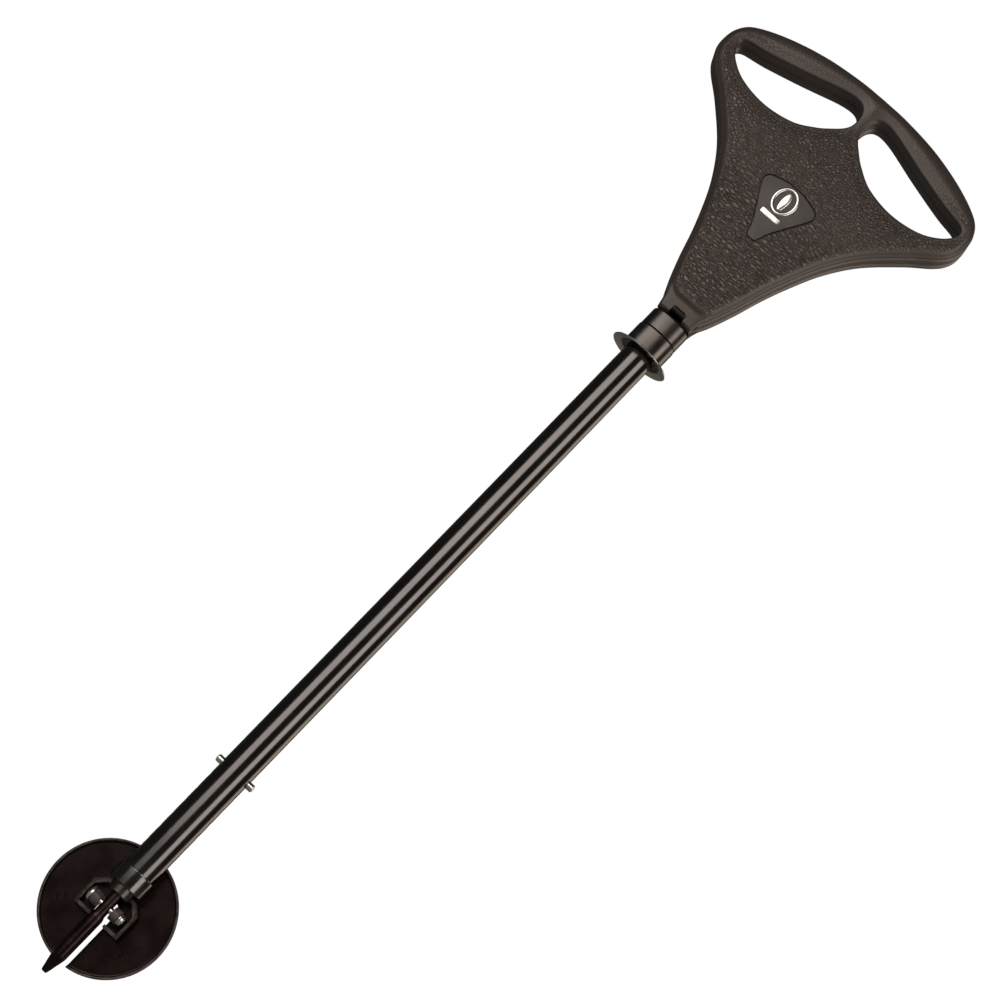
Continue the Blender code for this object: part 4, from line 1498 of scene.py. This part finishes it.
    def build_badge(self) -> None:
        """Builds the three-cornered badge, its oval ring, the spindle in it and the bar below."""
        face = -self.crest_height
        side = self.side.value
        plate_loop = moved_in(self.badge, 0.85 * MM)
        plate = prism(f"{side}_badge_plate", [tuple(p) for p in plate_loop], face + 0.25 * MM,
                      face + 1.4 * MM, facing)
        plate = bevelled(plate, 0.35 * MM, 3, 50.0)
        plate.data.transform(self.place)
        show(plate, self.side.body, BADGE_FINISH.material(), [f"{side}_badge"])
        trim = self.ring(f"{side}_badge_trim", self.badge_middle - self.pin_z, face)
        trim.data.transform(self.place)
        show(trim, self.side.body, TRIM_FINISH.material(), [f"{side}_badge_ring"])

    def ring(self, name: str, middle: float, face: float) -> bpy.types.Object:
        """Builds the oval ring with its spindle and bar as one trim piece.

        Args:
            name: the piece's name.
            middle: the ring's centre over the hinge axis.
            face: the badge's face.

        Returns:
            The trim, in the leaf's hinge coordinates.
        """
        bm = bmesh.new()
        count, around, half = 96, 12, self.ring_half
        rows = []
        for i in range(count):
            a = 2 * pi * i / count
            normal = Vector((cos(a) / half[0], sin(a) / half[1])).normalized()
            centre = Vector((half[0] * cos(a), half[1] * sin(a)))
            row = []
            for k in range(around):
                b = 2 * pi * k / around
                out = centre + normal * self.ring_wire * cos(b)
                row.append(bm.verts.new((out.x, face + 0.1 * MM - 0.55 * MM * sin(b), middle + out.y)))
            rows.append(row)
        for row, after in zip(rows, rows[1:] + rows[:1]):
            for k in range(around):
                n = (k + 1) % around
                bm.faces.new((row[k], after[k], after[n], row[n]))
        self.dome(bm, (0.0, middle), (3.3 * MM, 9.0 * MM), face, 0.9 * MM)
        self.dome(bm, (0.0, middle - 16.0 * MM), (9.4 * MM, 2.6 * MM), face, 0.55 * MM, 6.0)
        return smoothed(solid(name, bm), 45.0)

    @staticmethod
    def dome(bm: bmesh.types.BMesh, centre: tuple[float, float], half: tuple[float, float], face: float,
             rise: float, square: float = 2.0) -> None:
        """Adds a low dome, oval or nearly rectangular.

        Args:
            bm: the mesh under construction.
            centre: its middle on the face.
            half: its half width and half height.
            face: the face's depth.
            rise: how far it stands out.
            square: 2 for an oval, more for squarer corners.
        """
        count = 48
        rings = []
        for share, up in ((1.0, -0.4), (1.0, 0.3), (0.93, 0.62), (0.75, 0.85), (0.45, 0.97)):
            depth = face + 0.25 * MM - rise * up
            rings.append([bm.verts.new((centre[0] + x, depth, centre[1] + z))
                          for x, z in oval([h * share for h in half], square, count)])
        for low, high in zip(rings, rings[1:]):
            for i in range(count):
                bm.faces.new((low[i], low[(i + 1) % count], high[(i + 1) % count], high[i]))
        bm.faces.new(rings[0])
        bm.faces.new(rings[-1])

    def build_screws(self) -> None:
        """Builds the panel's four screws."""
        side = self.side.value
        places = [(x, self.inner_face + 0.1 * MM, z) for x, z in self.screw_points()]
        screws = Screws().build(f"{side}_panel_screws", places, self.place, STEEL_FINISH.material())
        show(screws, self.side.body, STEEL_FINISH.material(),
             [f"{side}_cover_screw_{i}" for i in range(1, 5)])

    def build(self) -> None:
        """Builds every piece of the leaf."""
        self.build_shell()
        self.build_panel()
        self.build_badge()
        self.build_screws()


@dataclass
class UpperStem:
    """The black outer tube, the guard disc, the two-tier head, and the pins."""

    tube_radius: float = 12.7 * MM
    wall: float = 1.4 * MM
    low: float = 94.0 * MM
    high: float = 640.9 * MM
    guard_z: float = 622.0 * MM
    split_z: float = 641.2 * MM
    top_z: float = 657.2 * MM
    cross_pin_z: float = 631.0 * MM
    hole_pitch: float = 12.7 * MM
    hole_count: int = 7
    hole_radius: float = 3.4 * MM
    squareness: float = 2.6

    def build_tube(self) -> None:
        """Builds the tube with its row of button holes on both sides."""
        inner = self.tube_radius - self.wall
        section = rounded([(inner, self.low), (self.tube_radius, self.low), (self.tube_radius, self.high),
                           (inner, self.high)], 0.5 * MM, 3)
        tube = turned("stem_tube", section, 128)
        tools = []
        for i in range(self.hole_count):
            spot = (0, 0, BUTTON_Z - i * self.hole_pitch)
            tools.append(drill(f"hole_{i}", self.hole_radius, 20 * MM, 40, Axis.X, spot))
        tools.append(drill("pin_hole", CROSS_PIN_BORE, 20 * MM, 24, Axis.X, (0, 0, self.cross_pin_z)))
        tube = smoothed(combined(tube, tools), 30.0)
        show(tube, Body.UPPER, TUBE_FINISH.material(), ["outer_tube"])

    def build_guard(self) -> None:
        """Builds the thin spun disc with a turned-down, pointed rim."""
        z, bore = self.guard_z, self.tube_radius + 0.3 * MM
        radius = 25.5 * MM
        top = [(radius, z - 0.75 * MM), (radius - 0.5 * MM, z - 0.15 * MM), (22.5 * MM, z + 0.75 * MM),
               (18.5 * MM, z + 1.55 * MM), (16.0 * MM, z + 1.8 * MM), (bore, z + 1.8 * MM)]
        under = [(bore, z + 1.2 * MM), (16.6 * MM, z + 1.2 * MM), (17.6 * MM, z + 0.8 * MM),
                 (18.6 * MM, z + 0.1 * MM), (20.4 * MM, z - 0.35 * MM), (23.0 * MM, z - 0.65 * MM),
                 (radius - 0.6 * MM, z - 1.15 * MM), (radius - 0.1 * MM, z - 1.1 * MM)]
        guard = turned("guard_disc", under + top, 160, angle=50.0)
        show(guard, Body.UPPER, GUARD_FINISH.material(), ["hand_guard"])

    def block(self, name: str, levels: Profile, half: tuple[float, float], bore: float) -> bpy.types.Object:
        """Builds a rounded block in levels.

        Args:
            name: the piece's name.
            levels: (height, how far the outline is moved in) from bottom to top.
            half: half width and half depth.
            bore: the radius of a hole through it, or 0.

        Returns:
            The closed block.
        """
        count = 144
        bm = bmesh.new()

        def ring(height: float, less: float) -> list[bmesh.types.BMVert]:
            """Adds one outline of the block, moved in by less, at a height."""
            outline = oval((half[0] - less, half[1] - less), self.squareness, count, 0.5)
            return [bm.verts.new((x, y, height)) for x, y in outline]

        rings = [ring(z, d) for z, d in levels]
        walls = list(zip(rings, rings[1:]))
        if bore:
            angles = [2 * pi * (i + 0.5) / count for i in range(count)]
            holes = [[bm.verts.new((bore * cos(a), bore * sin(a), z)) for a in angles]
                     for z in (levels[0][0], levels[-1][0])]
            walls += [(holes[0], rings[0]), (rings[-1], holes[1]), (holes[1], holes[0])]
        else:
            bm.faces.new(rings[0])
            bm.faces.new(rings[-1])
        for low, high in walls:
            for i in range(count):
                k = (i + 1) % count
                bm.faces.new((low[i], low[k], high[k], high[i]))
        return solid(name, bm)

    def build_head(self) -> None:
        """Builds the collar and the casting over it, with the tongue between the leaves' knuckles."""
        low = self.guard_z + 2.1 * MM
        half = (17.0 * MM, 15.4 * MM)
        top = self.split_z - 0.3 * MM
        levels = [(low, 0.7 * MM), (low + 0.2 * MM, 0.3 * MM), (low + 0.7 * MM, 0.0),
                  (top - 0.8 * MM, 0.0), (top - 0.25 * MM, 0.25 * MM), (top, 0.7 * MM)]
        collar = self.block("head_collar_ring", levels, half, self.tube_radius + 0.3 * MM)
        collar = smoothed(collar, 40.0)
        show(collar, Body.UPPER, CASTING_FINISH.material(), ["head_collar"])

        half = (16.6 * MM, 15.0 * MM)
        rise = self.top_z
        levels = [(self.split_z, 0.7 * MM), (self.split_z + 0.25 * MM, 0.25 * MM),
                  (self.split_z + 0.8 * MM, 0.0), (rise - 1.9 * MM, 0.0), (rise - 1.0 * MM, 0.25 * MM),
                  (rise - 0.35 * MM, 0.8 * MM), (rise - 0.05 * MM, 1.5 * MM), (rise, 2.2 * MM)]
        head = self.block("head_block", levels, half, 0.0)
        spigot = turned("spigot", [(0, self.guard_z - 25 * MM), (11.0 * MM, self.guard_z - 25 * MM),
                                   (11.1 * MM, self.split_z + 2 * MM), (0, self.split_z + 2 * MM)], 64)
        web, radius, pin_z = LEAF_PIN_Y, 5.0 * MM, LEAF_PIN_Z
        arc = np.linspace(0, pi / 2, 13)
        right = [(web, rise - 8 * MM), (web, pin_z - radius)]
        right += [(web + radius * cos(a - pi / 2), pin_z + radius * sin(a - pi / 2)) for a in arc[1:]]
        right += [(web + radius * cos(a), pin_z + radius * sin(a)) for a in arc[1:]]
        loop = right + [(-u, v) for u, v in reversed(right)]
        tongue = prism("tongue", loop, -6.0 * MM, 6.0 * MM, lengthways)
        head = combined(head, [spigot, tongue], "UNION")
        bores = [drill(f"bore_{i}", 2.6 * MM, 15 * MM, 32, Axis.X, (0, y, pin_z))
                 for i, y in enumerate((-web, web))]
        bores.append(drill("bore_pin", CROSS_PIN_BORE, 15 * MM, 24, Axis.X, (0, 0, self.cross_pin_z)))
        head = smoothed(combined(head, bores), 40.0)
        head.name = "head_casting"
        show(head, Body.UPPER, HEAD_FINISH.material(), ["hinge_head"])

    def build_pins(self) -> None:
        """Builds the hinge pins and the pin that holds the head."""
        end, radius = 15.2 * MM, 2.5 * MM
        section = rounded([(0, -end), (radius, -end), (radius, end), (0, end)], 0.7 * MM, 4)
        for side, y in ((Side.FRONT, -LEAF_PIN_Y), (Side.REAR, LEAF_PIN_Y)):
            pin = turned(f"{side.value}_pin", section, 40, Axis.X, (0, y, LEAF_PIN_Z))
            show(pin, Body.UPPER, STEEL_FINISH.material(), [f"{side.value}_hinge_pin"])
        dress("head_pin", STEEL_FINISH.material())

    def build(self) -> None:
        """Builds every piece of the upper stem."""
        self.build_tube()
        self.build_guard()
        self.build_head()
        self.build_pins()


@dataclass
class LowerStem:
    """The inner tube, ferrule collar, plug, spike, pivot bolt and the buttons' coil."""

    inner_radius: float = 11.0 * MM
    collar_low: float = 80.2 * MM
    collar_high: float = 93.7 * MM
    collar_radius: float = 14.8 * MM
    plug_low: float = 73.2 * MM
    cross_pin_z: float = 98.7 * MM

    def build_inner_tube(self) -> None:
        """Builds the bright inner tube with its button holes."""
        low, high, wall = self.collar_low + 1.2 * MM, 380.0 * MM, 1.2 * MM
        outer, inner = self.inner_radius, self.inner_radius - wall
        section = rounded([(inner, low), (outer, low), (outer, high), (inner, high)], 0.3 * MM, 2)
        tube = turned("inner_stem", section, 112)
        hole = drill("hole", 3.3 * MM, 20 * MM, 36, Axis.X, (0, 0, BUTTON_Z))
        pin = drill("pin_hole", CROSS_PIN_BORE, 20 * MM, 24, Axis.Y, (0, 0, self.cross_pin_z))
        tube = smoothed(combined(tube, [hole, pin]), 30.0)
        show(tube, Body.LOWER, BRIGHT_FINISH.material(), ["inner_tube"])

    def build_ferrule(self) -> None:
        """Builds the smoked collar that ends the stem and the plug under it."""
        low, high, radius = self.collar_low, self.collar_high, self.collar_radius
        bore, plug = self.inner_radius + 0.2 * MM, 9.8 * MM
        lip = low + 0.9 * MM
        section = rounded([(plug, low), (radius, low), (radius, high), (bore, high), (bore, lip),
                           (plug, lip)], 0.6 * MM, 4)
        collar = turned("ferrule_ring", section, 128)
        show(collar, Body.LOWER, FERRULE_FINISH.material(), ["ferrule_collar"])
        top, neck = high + 12 * MM, 4.6 * MM
        section = [(0, high - 3 * MM), (neck, high - 3 * MM)] + rounded([
            (neck, self.plug_low), (9.5 * MM, self.plug_low), (9.5 * MM, top), (neck, top)],
            0.7 * MM, 3)[:-4] + [(0, top)]
        stub = turned("spike_socket", section, 96)
        hole = drill("pin_hole", CROSS_PIN_BORE, 20 * MM, 24, Axis.Y, (0, 0, self.cross_pin_z))
        stub = smoothed(combined(stub, [hole]), 32.0)
        show(stub, Body.LOWER, CASTING_FINISH.material(), ["spike_plug"])

    def build_spike(self) -> None:
        """Builds the spike with its neck, long parallel body and tapered blunt tip."""
        neck, radius = 4.5 * MM, 5.65 * MM
        tip = [(0, 0.0), (1.5 * MM, 0.05 * MM), (2.1 * MM, 0.35 * MM), (2.45 * MM, 1.0 * MM)]
        body = [(5.45 * MM, 14.4 * MM), (radius, 16.2 * MM), (radius, 51.6 * MM), (5.4 * MM, 52.8 * MM),
                (neck + 0.15 * MM, 54.8 * MM), (neck, 55.6 * MM), (neck, 90.3 * MM), (0, 90.3 * MM)]
        spike = turned("ground_spike", tip + body, 72)
        bore = drill("bolt_hole", 2.6 * MM, 20 * MM, 32, Axis.X, (0, 0, PIVOT_Z))
        spike = smoothed(combined(spike, [bore]), 28.0)
        show(spike, Body.LOWER, SPIKE_FINISH.material(), ["spike"])

    def build_bolt(self) -> None:
        """Builds the domed pivot bolt, its washer and its round nut."""
        side, shaft, head, rise = 12.9 * MM, 2.5 * MM, 6.0 * MM, 2.9 * MM
        dome = [(head * cos(a), -side - 0.9 * MM - rise * sin(a)) for a in np.linspace(pi / 2, 0, 14)]
        end = side + 3.6 * MM
        profile = [(0.0, dome[0][1])] + dome[1:] + [
            (head, -side - 0.15 * MM), (head - 0.15 * MM, -side), (shaft, -side), (shaft, end - 0.5 * MM),
            (shaft - 0.5 * MM, end), (0, end)]
        place = (0, 0, PIVOT_Z)
        bolt = turned("pivot_rivet", profile, 72, Axis.X, place)
        show(bolt, Body.LOWER, STEEL_FINISH.material(), ["pivot_bolt"])
        high = side + 0.9 * MM
        section = [(2.7 * MM, side), (5.0 * MM, side), (5.0 * MM, high), (2.7 * MM, high)]
        washer = turned("rivet_washer", rounded(section, 0.2 * MM, 3), 64, Axis.X, place)
        show(washer, Body.LOWER, STEEL_FINISH.material(), ["pivot_washer"])
        low, high = side + 1.1 * MM, side + 3.2 * MM
        section = [(2.6 * MM, low), (4.2 * MM, low), (4.2 * MM, high), (2.6 * MM, high)]
        nut = turned("rivet_nut", rounded(section, 0.5 * MM, 4), 64, Axis.X, place)
        show(nut, Body.LOWER, STEEL_FINISH.material(), ["pivot_nut"])

    def build_spring(self) -> None:
        """Builds the coil between the two buttons, as two halves, one beside each button."""
        steel = STEEL_FINISH.material()
        coil, gap = Coil(), 0.25 * MM
        for body, name, sign in ((Body.BUTTON_RIGHT, "right_coil", 1), (Body.BUTTON_LEFT, "left_coil", -1)):
            half = coil.build(name, (sign * (gap + coil.length / 2), 0, BUTTON_Z), steel)
            bend = Bend(body, (sign * gap, 0.0, BUTTON_Z), (sign * (gap + coil.length), 0.0, BUTTON_Z))
            show(half, Body.LOWER, steel, ["button_spring"], bend)

    def build(self) -> None:
        """Builds every piece of the lower stem."""
        self.build_inner_tube()
        self.build_ferrule()
        self.build_spike()
        self.build_bolt()
        self.build_spring()
        dress("guide_plug", NYLON_FINISH.material())
        dress("plug_pin", STEEL_FINISH.material())


@dataclass
class SnapButtons:
    """The two snap buttons."""

    radius: float = 3.0 * MM
    foot: float = 6.2 * MM
    end: float = 17.7 * MM
    dome: float = 1.3 * MM
    flange: float = 4.2 * MM

    def build(self) -> None:
        """Builds both buttons, domed outwards."""
        dome = [(self.radius * cos(a), self.end - self.dome + self.dome * sin(a))
                for a in np.linspace(0, pi / 2, 12)]
        low, high, wide = self.foot, self.foot + 1.8 * MM, self.flange
        foot = [(0, low), (wide - 0.2 * MM, low), (wide, low + 0.2 * MM), (wide, high - 0.2 * MM),
                (wide - 0.2 * MM, high), (self.radius, high)]
        profile = foot + dome[:-1] + [(0, self.end)]
        for body, sign in ((Body.BUTTON_RIGHT, 1), (Body.BUTTON_LEFT, -1)):
            node = body.value
            button = turned(f"snap_{node}", profile, 56)
            turn = Matrix.Rotation(sign * pi / 2, 4, "Y")
            button.data.transform(Matrix.Translation((0, 0, BUTTON_Z)) @ turn)
            show(button, body, STEEL_FINISH.material(), [node])


@dataclass
class GroundPlate:
    """The dished ground plate with its rim, slot, walled boss, barrels and ring marks."""

    radius: float = 50.0 * MM
    face_y: float = 15.2 * MM
    sole_y: float = 17.2 * MM
    rim_y: float = 13.2 * MM
    slot: float = 7.1 * MM
    barrel: float = 5.4 * MM
    web: float = 4.1 * MM
    mark_spots: Profile = ((-30.6, -15.6), (30.6, -15.6))

    def disc(self) -> bpy.types.Object:
        """Builds the disc with its rounded raised rim and a shallow step inside it."""
        r, sole, rim, face = self.radius, -self.sole_y, -self.rim_y, -self.face_y
        section = [(0, sole), (r - 1.0 * MM, sole), (r - 0.3 * MM, sole + 0.3 * MM), (r, sole + 1.0 * MM),
                   (r, rim - 0.8 * MM), (r - 0.25 * MM, rim - 0.25 * MM), (r - 0.8 * MM, rim),
                   (r - 1.3 * MM, rim), (r - 1.8 * MM, rim - 0.3 * MM), (r - 2.1 * MM, rim - 0.9 * MM),
                   (r - 2.6 * MM, face + 0.2 * MM), (r - 3.6 * MM, face), (0, face)]
        disc = turned("ground_disc", section, 192)
        disc.data.transform(Matrix.Rotation(pi / 2, 4, "X"))
        return disc

    def boss(self) -> bpy.types.Object:
        """Builds the boss's wall: a chamfered frame."""
        wide, top, bottom, wall, cut = 21.0 * MM, 16.2 * MM, -12.0 * MM, 2.6 * MM, 7.0 * MM
        outer = [(-wide, bottom), (wide, bottom), (wide, top - cut), (wide - cut, top), (cut - wide, top),
                 (-wide, top - cut)]
        inner = [(u - wall * np.sign(u), v - wall * (1 if v > 0 else -1)) for u, v in outer]
        frame_wall = prism("boss_wall", outer, 5.0 * MM, self.face_y + 1.0 * MM, facing)
        hollow = prism("boss_hollow", inner, 0.0, self.face_y + 5.0 * MM, facing)
        return combined(frame_wall, [hollow])

    def build(self) -> None:
        """Builds the plate as one moulding and dresses it."""
        plate = self.disc()
        tools = [self.boss()]
        for sign in (-1, 1):
            ends = sorted((sign * 6.1 * MM, sign * 12.6 * MM))
            section = [(0, ends[0]), (self.barrel, ends[0]), (self.barrel, ends[1]), (0, ends[1])]
            tools.append(turned(f"barrel_{sign}", rounded(section, 0.5 * MM, 3), 48, Axis.X))
            web = [(ends[0], -self.web), (ends[1], -self.web), (ends[1], self.web), (ends[0], self.web)]
            tools.append(prism(f"web_{sign}", web, 3.2 * MM, self.face_y + 1.0 * MM, facing))
        plate = combined(plate, tools, "UNION")
        cuts = [drill("bolt_bore", 2.8 * MM, 15 * MM, 40, Axis.X)]
        slot = [(-self.slot, -2 * self.radius), (self.slot, -2 * self.radius)]
        slot += [(self.slot * cos(a), self.slot * sin(a)) for a in np.linspace(0, pi, 25)]
        cuts.append(prism("spike_slot", slot, self.barrel + 0.3 * MM, 2 * self.sole_y, facing))
        low = [(-self.slot, -24 * MM), (self.slot, -24 * MM), (self.slot, -6.4 * MM), (-self.slot, -6.4 * MM)]
        cuts.append(prism("wall_slot", low, 0.0, self.barrel + 1.3 * MM, facing))
        room = [(0, 9 * MM), (10.3 * MM, 9 * MM), (10.3 * MM, 30 * MM), (0, 30 * MM)]
        cuts.append(turned("socket_room", room, 64))
        plate = combined(plate, cuts)
        plate = bevelled(plate, 0.35 * MM, 2, 40.0)
        plate.name = "ground_plate_disc"
        plate.data.transform(Matrix.Translation((0, 0, PIVOT_Z)))
        material = PLATE_FINISH.material()
        show(plate, Body.PLATE, material, ["ground_plate"])
        self.build_marks(material)

    def build_marks(self, material: bpy.types.Material) -> None:
        """Builds the small ring marks that the moulding pins leave, instanced on their places."""
        pattern = Pattern("ring_marks", {"Radius": 3.0 * MM, "Section": 0.42 * MM})
        circle = "GeometryNodeCurvePrimitiveCircle"
        line = pattern.node(circle, ("Radius", pattern.size("Radius")), Resolution=40)
        section = pattern.node(circle, ("Radius", pattern.size("Section")), Resolution=8)
        ring = pattern.node("GeometryNodeCurveToMesh", ("Curve", line.outputs[0]),
                            ("Profile Curve", section.outputs[0]))
        placed = pattern.node("GeometryNodeInstanceOnPoints", ("Points", pattern.size("Geometry")),
                              ("Instance", ring.outputs[0]))
        placed.inputs["Rotation"].default_value = (pi / 2, 0, 0)
        places = [(u * MM, self.face_y, PIVOT_Z + v * MM) for u, v in self.mark_spots]
        marks = smoothed(pattern.run("plate_marks", placed.outputs[0], material, spots("mark_spots", places)))
        show(marks, Body.PLATE, material, [])


# Stage


@dataclass
class Panel:
    """One rectangular light."""

    name: str
    azimuth: float
    distance: float
    height: float
    width: float
    tall: float
    power: float
    color: Color = (1.0, 1.0, 1.0)

    def build(self, aim: Vector, reference: float) -> None:
        """Places the light round the stick.

        Args:
            aim: the point that it faces.
            reference: the view's azimuth, which the light's azimuth is added to.
        """
        angle = reference + radians(self.azimuth)
        data = bpy.data.lights.new(self.name, "AREA")
        data.shape = "RECTANGLE"
        data.size = self.width
        data.size_y = self.tall
        data.energy = self.power
        data.color = self.color
        item = bpy.data.objects.new(self.name, data)
        item.location = (self.distance * sin(angle), -self.distance * cos(angle), self.height)
        item.rotation_euler = (aim - item.location).to_track_quat("-Z", "Y").to_euler()
        bpy.context.scene.collection.objects.link(item)


@dataclass
class Studio:
    """The floor, the soft lights and the camera."""

    focal: float = 97.2
    camera_turn: float = 7.5
    camera_rise: float = 12.5
    distance: float = 1.983
    aim_z: float = 0.4685
    roll: tuple[float, float] = (0.71819, 0.69585)
    backdrop: float = 1.0
    fill: float = 0.07
    fill_color: Color = (1.0, 0.97, 0.94)
    light_aim: Point = (0.0, 0.0, 0.5)
    floor_radius: float = 14.0
    floor_z: float = -1.5 * MM
    floor_sides: int = 96
    floor_glow: float = 0.05
    panels: tuple[Panel, ...] = (
        Panel("left_box", -33.0, 2.4, 1.12, 1.75, 1.75, 34.0, (1.0, 0.98, 0.96)),
        Panel("right_box", 44.0, 2.2, 0.95, 1.15, 1.9, 26.0, (1.0, 0.96, 0.92)),
        Panel("right_wrap", 122.0, 1.8, 0.75, 1.1, 1.7, 12.0, (1.0, 0.86, 0.72)),
    )

    def build_camera(self) -> None:
        """Places the camera low in front of the stick, a little to its right, and rolled."""
        turn, rise = radians(self.camera_turn), radians(self.camera_rise)
        forward = Vector((-sin(turn) * cos(rise), cos(turn) * cos(rise), sin(rise)))
        right = Vector((cos(turn), sin(turn), 0))
        up = right.cross(forward)
        across = right * self.roll[0] + up * self.roll[1]
        upward = right * -self.roll[1] + up * self.roll[0]
        data = bpy.data.cameras.new("camera")
        data.lens = self.focal
        data.sensor_width = 36.0
        data.clip_start = 0.05
        data.clip_end = 60.0
        item = bpy.data.objects.new("camera", data)
        matrix = Matrix((across, upward, -forward)).transposed().to_4x4()
        matrix.translation = Vector((0, 0, self.aim_z)) - forward * self.distance
        item.matrix_world = matrix
        bpy.context.scene.collection.objects.link(item)
        bpy.context.scene.camera = item

    def build_world(self) -> None:
        """Lights the surroundings: a pale backdrop, and a dimmer grey fill for what it lights."""
        world = bpy.data.worlds.new("studio")
        world.use_nodes = True
        tree = world.node_tree
        tree.nodes.clear()
        out = tree.nodes.new("ShaderNodeOutputWorld")
        seen = tree.nodes.new("ShaderNodeBackground")
        seen.inputs["Strength"].default_value = self.backdrop
        seen.inputs["Color"].default_value = (1, 1, 1, 1)
        given = tree.nodes.new("ShaderNodeBackground")
        given.inputs["Strength"].default_value = self.fill
        given.inputs["Color"].default_value = (*self.fill_color, 1)
        path = tree.nodes.new("ShaderNodeLightPath")
        mix = tree.nodes.new("ShaderNodeMixShader")
        tree.links.new(path.outputs["Is Camera Ray"], mix.inputs["Fac"])
        tree.links.new(given.outputs[0], mix.inputs[1])
        tree.links.new(seen.outputs[0], mix.inputs[2])
        tree.links.new(mix.outputs[0], out.inputs["Surface"])
        bpy.context.scene.world = world

    def build_floor(self) -> None:
        """Builds the plain pale floor, a wide round sheet that glows faintly like a lit table."""
        bm = bmesh.new()
        sides = self.floor_sides
        angles = [2 * pi * i / sides for i in range(sides)]
        rows = [[bm.verts.new((0, 0, self.floor_z))]]
        for radius in (share * self.floor_radius for share in (0.04, 0.12, 0.4, 1.0)):
            rows.append([bm.verts.new((radius * cos(a), radius * sin(a), self.floor_z)) for a in angles])
        for low, high in zip(rows, rows[1:]):
            for i in range(sides):
                k = (i + 1) % sides
                corners = [low[i % len(low)], high[i], high[k], low[k % len(low)]]
                bm.faces.new(list(dict.fromkeys(corners)))
        floor = solid("floor", bm)
        shader = Shader("pale_floor", (0.88, 0.88, 0.87), 0.9)
        shader.color(shader.blend(shader.noise(3.0, 2.0), (0.30, 0.30, 0.30), (0.34, 0.34, 0.34)))
        shader.principled.inputs["Emission Color"].default_value = (1.0, 1.0, 1.0, 1.0)
        path = shader.node("ShaderNodeLightPath")
        glow = shader.span(path.outputs["Is Camera Ray"], 0.0, 1.0, self.floor_glow, self.backdrop)
        shader.tree.links.new(glow, shader.principled.inputs["Emission Strength"])
        floor.data.materials.append(shader.material)

    def build(self) -> None:
        """Builds the whole stage."""
        self.build_camera()
        self.build_world()
        self.build_floor()
        for panel in self.panels:
            panel.build(Vector(self.light_aim), radians(self.camera_turn))
        LOG.info("stage: camera, floor and %d lights", len(self.panels))


def set_view() -> None:
    """Shows the scene's colours plainly, without a film curve."""
    bpy.context.scene.view_settings.view_transform = "Standard"
    bpy.context.scene.view_settings.look = "None"


def main() -> None:
    """Builds the stage and every sub-assembly in order."""
    logging.basicConfig(level=logging.INFO, format="%(name)s: %(message)s")
    set_view()
    Studio().build()
    LowerStem().build()
    SnapButtons().build()
    GroundPlate().build()
    UpperStem().build()
    for side in Side:
        SeatLeaf(side).build()


if __name__ == "__main__":
    main()
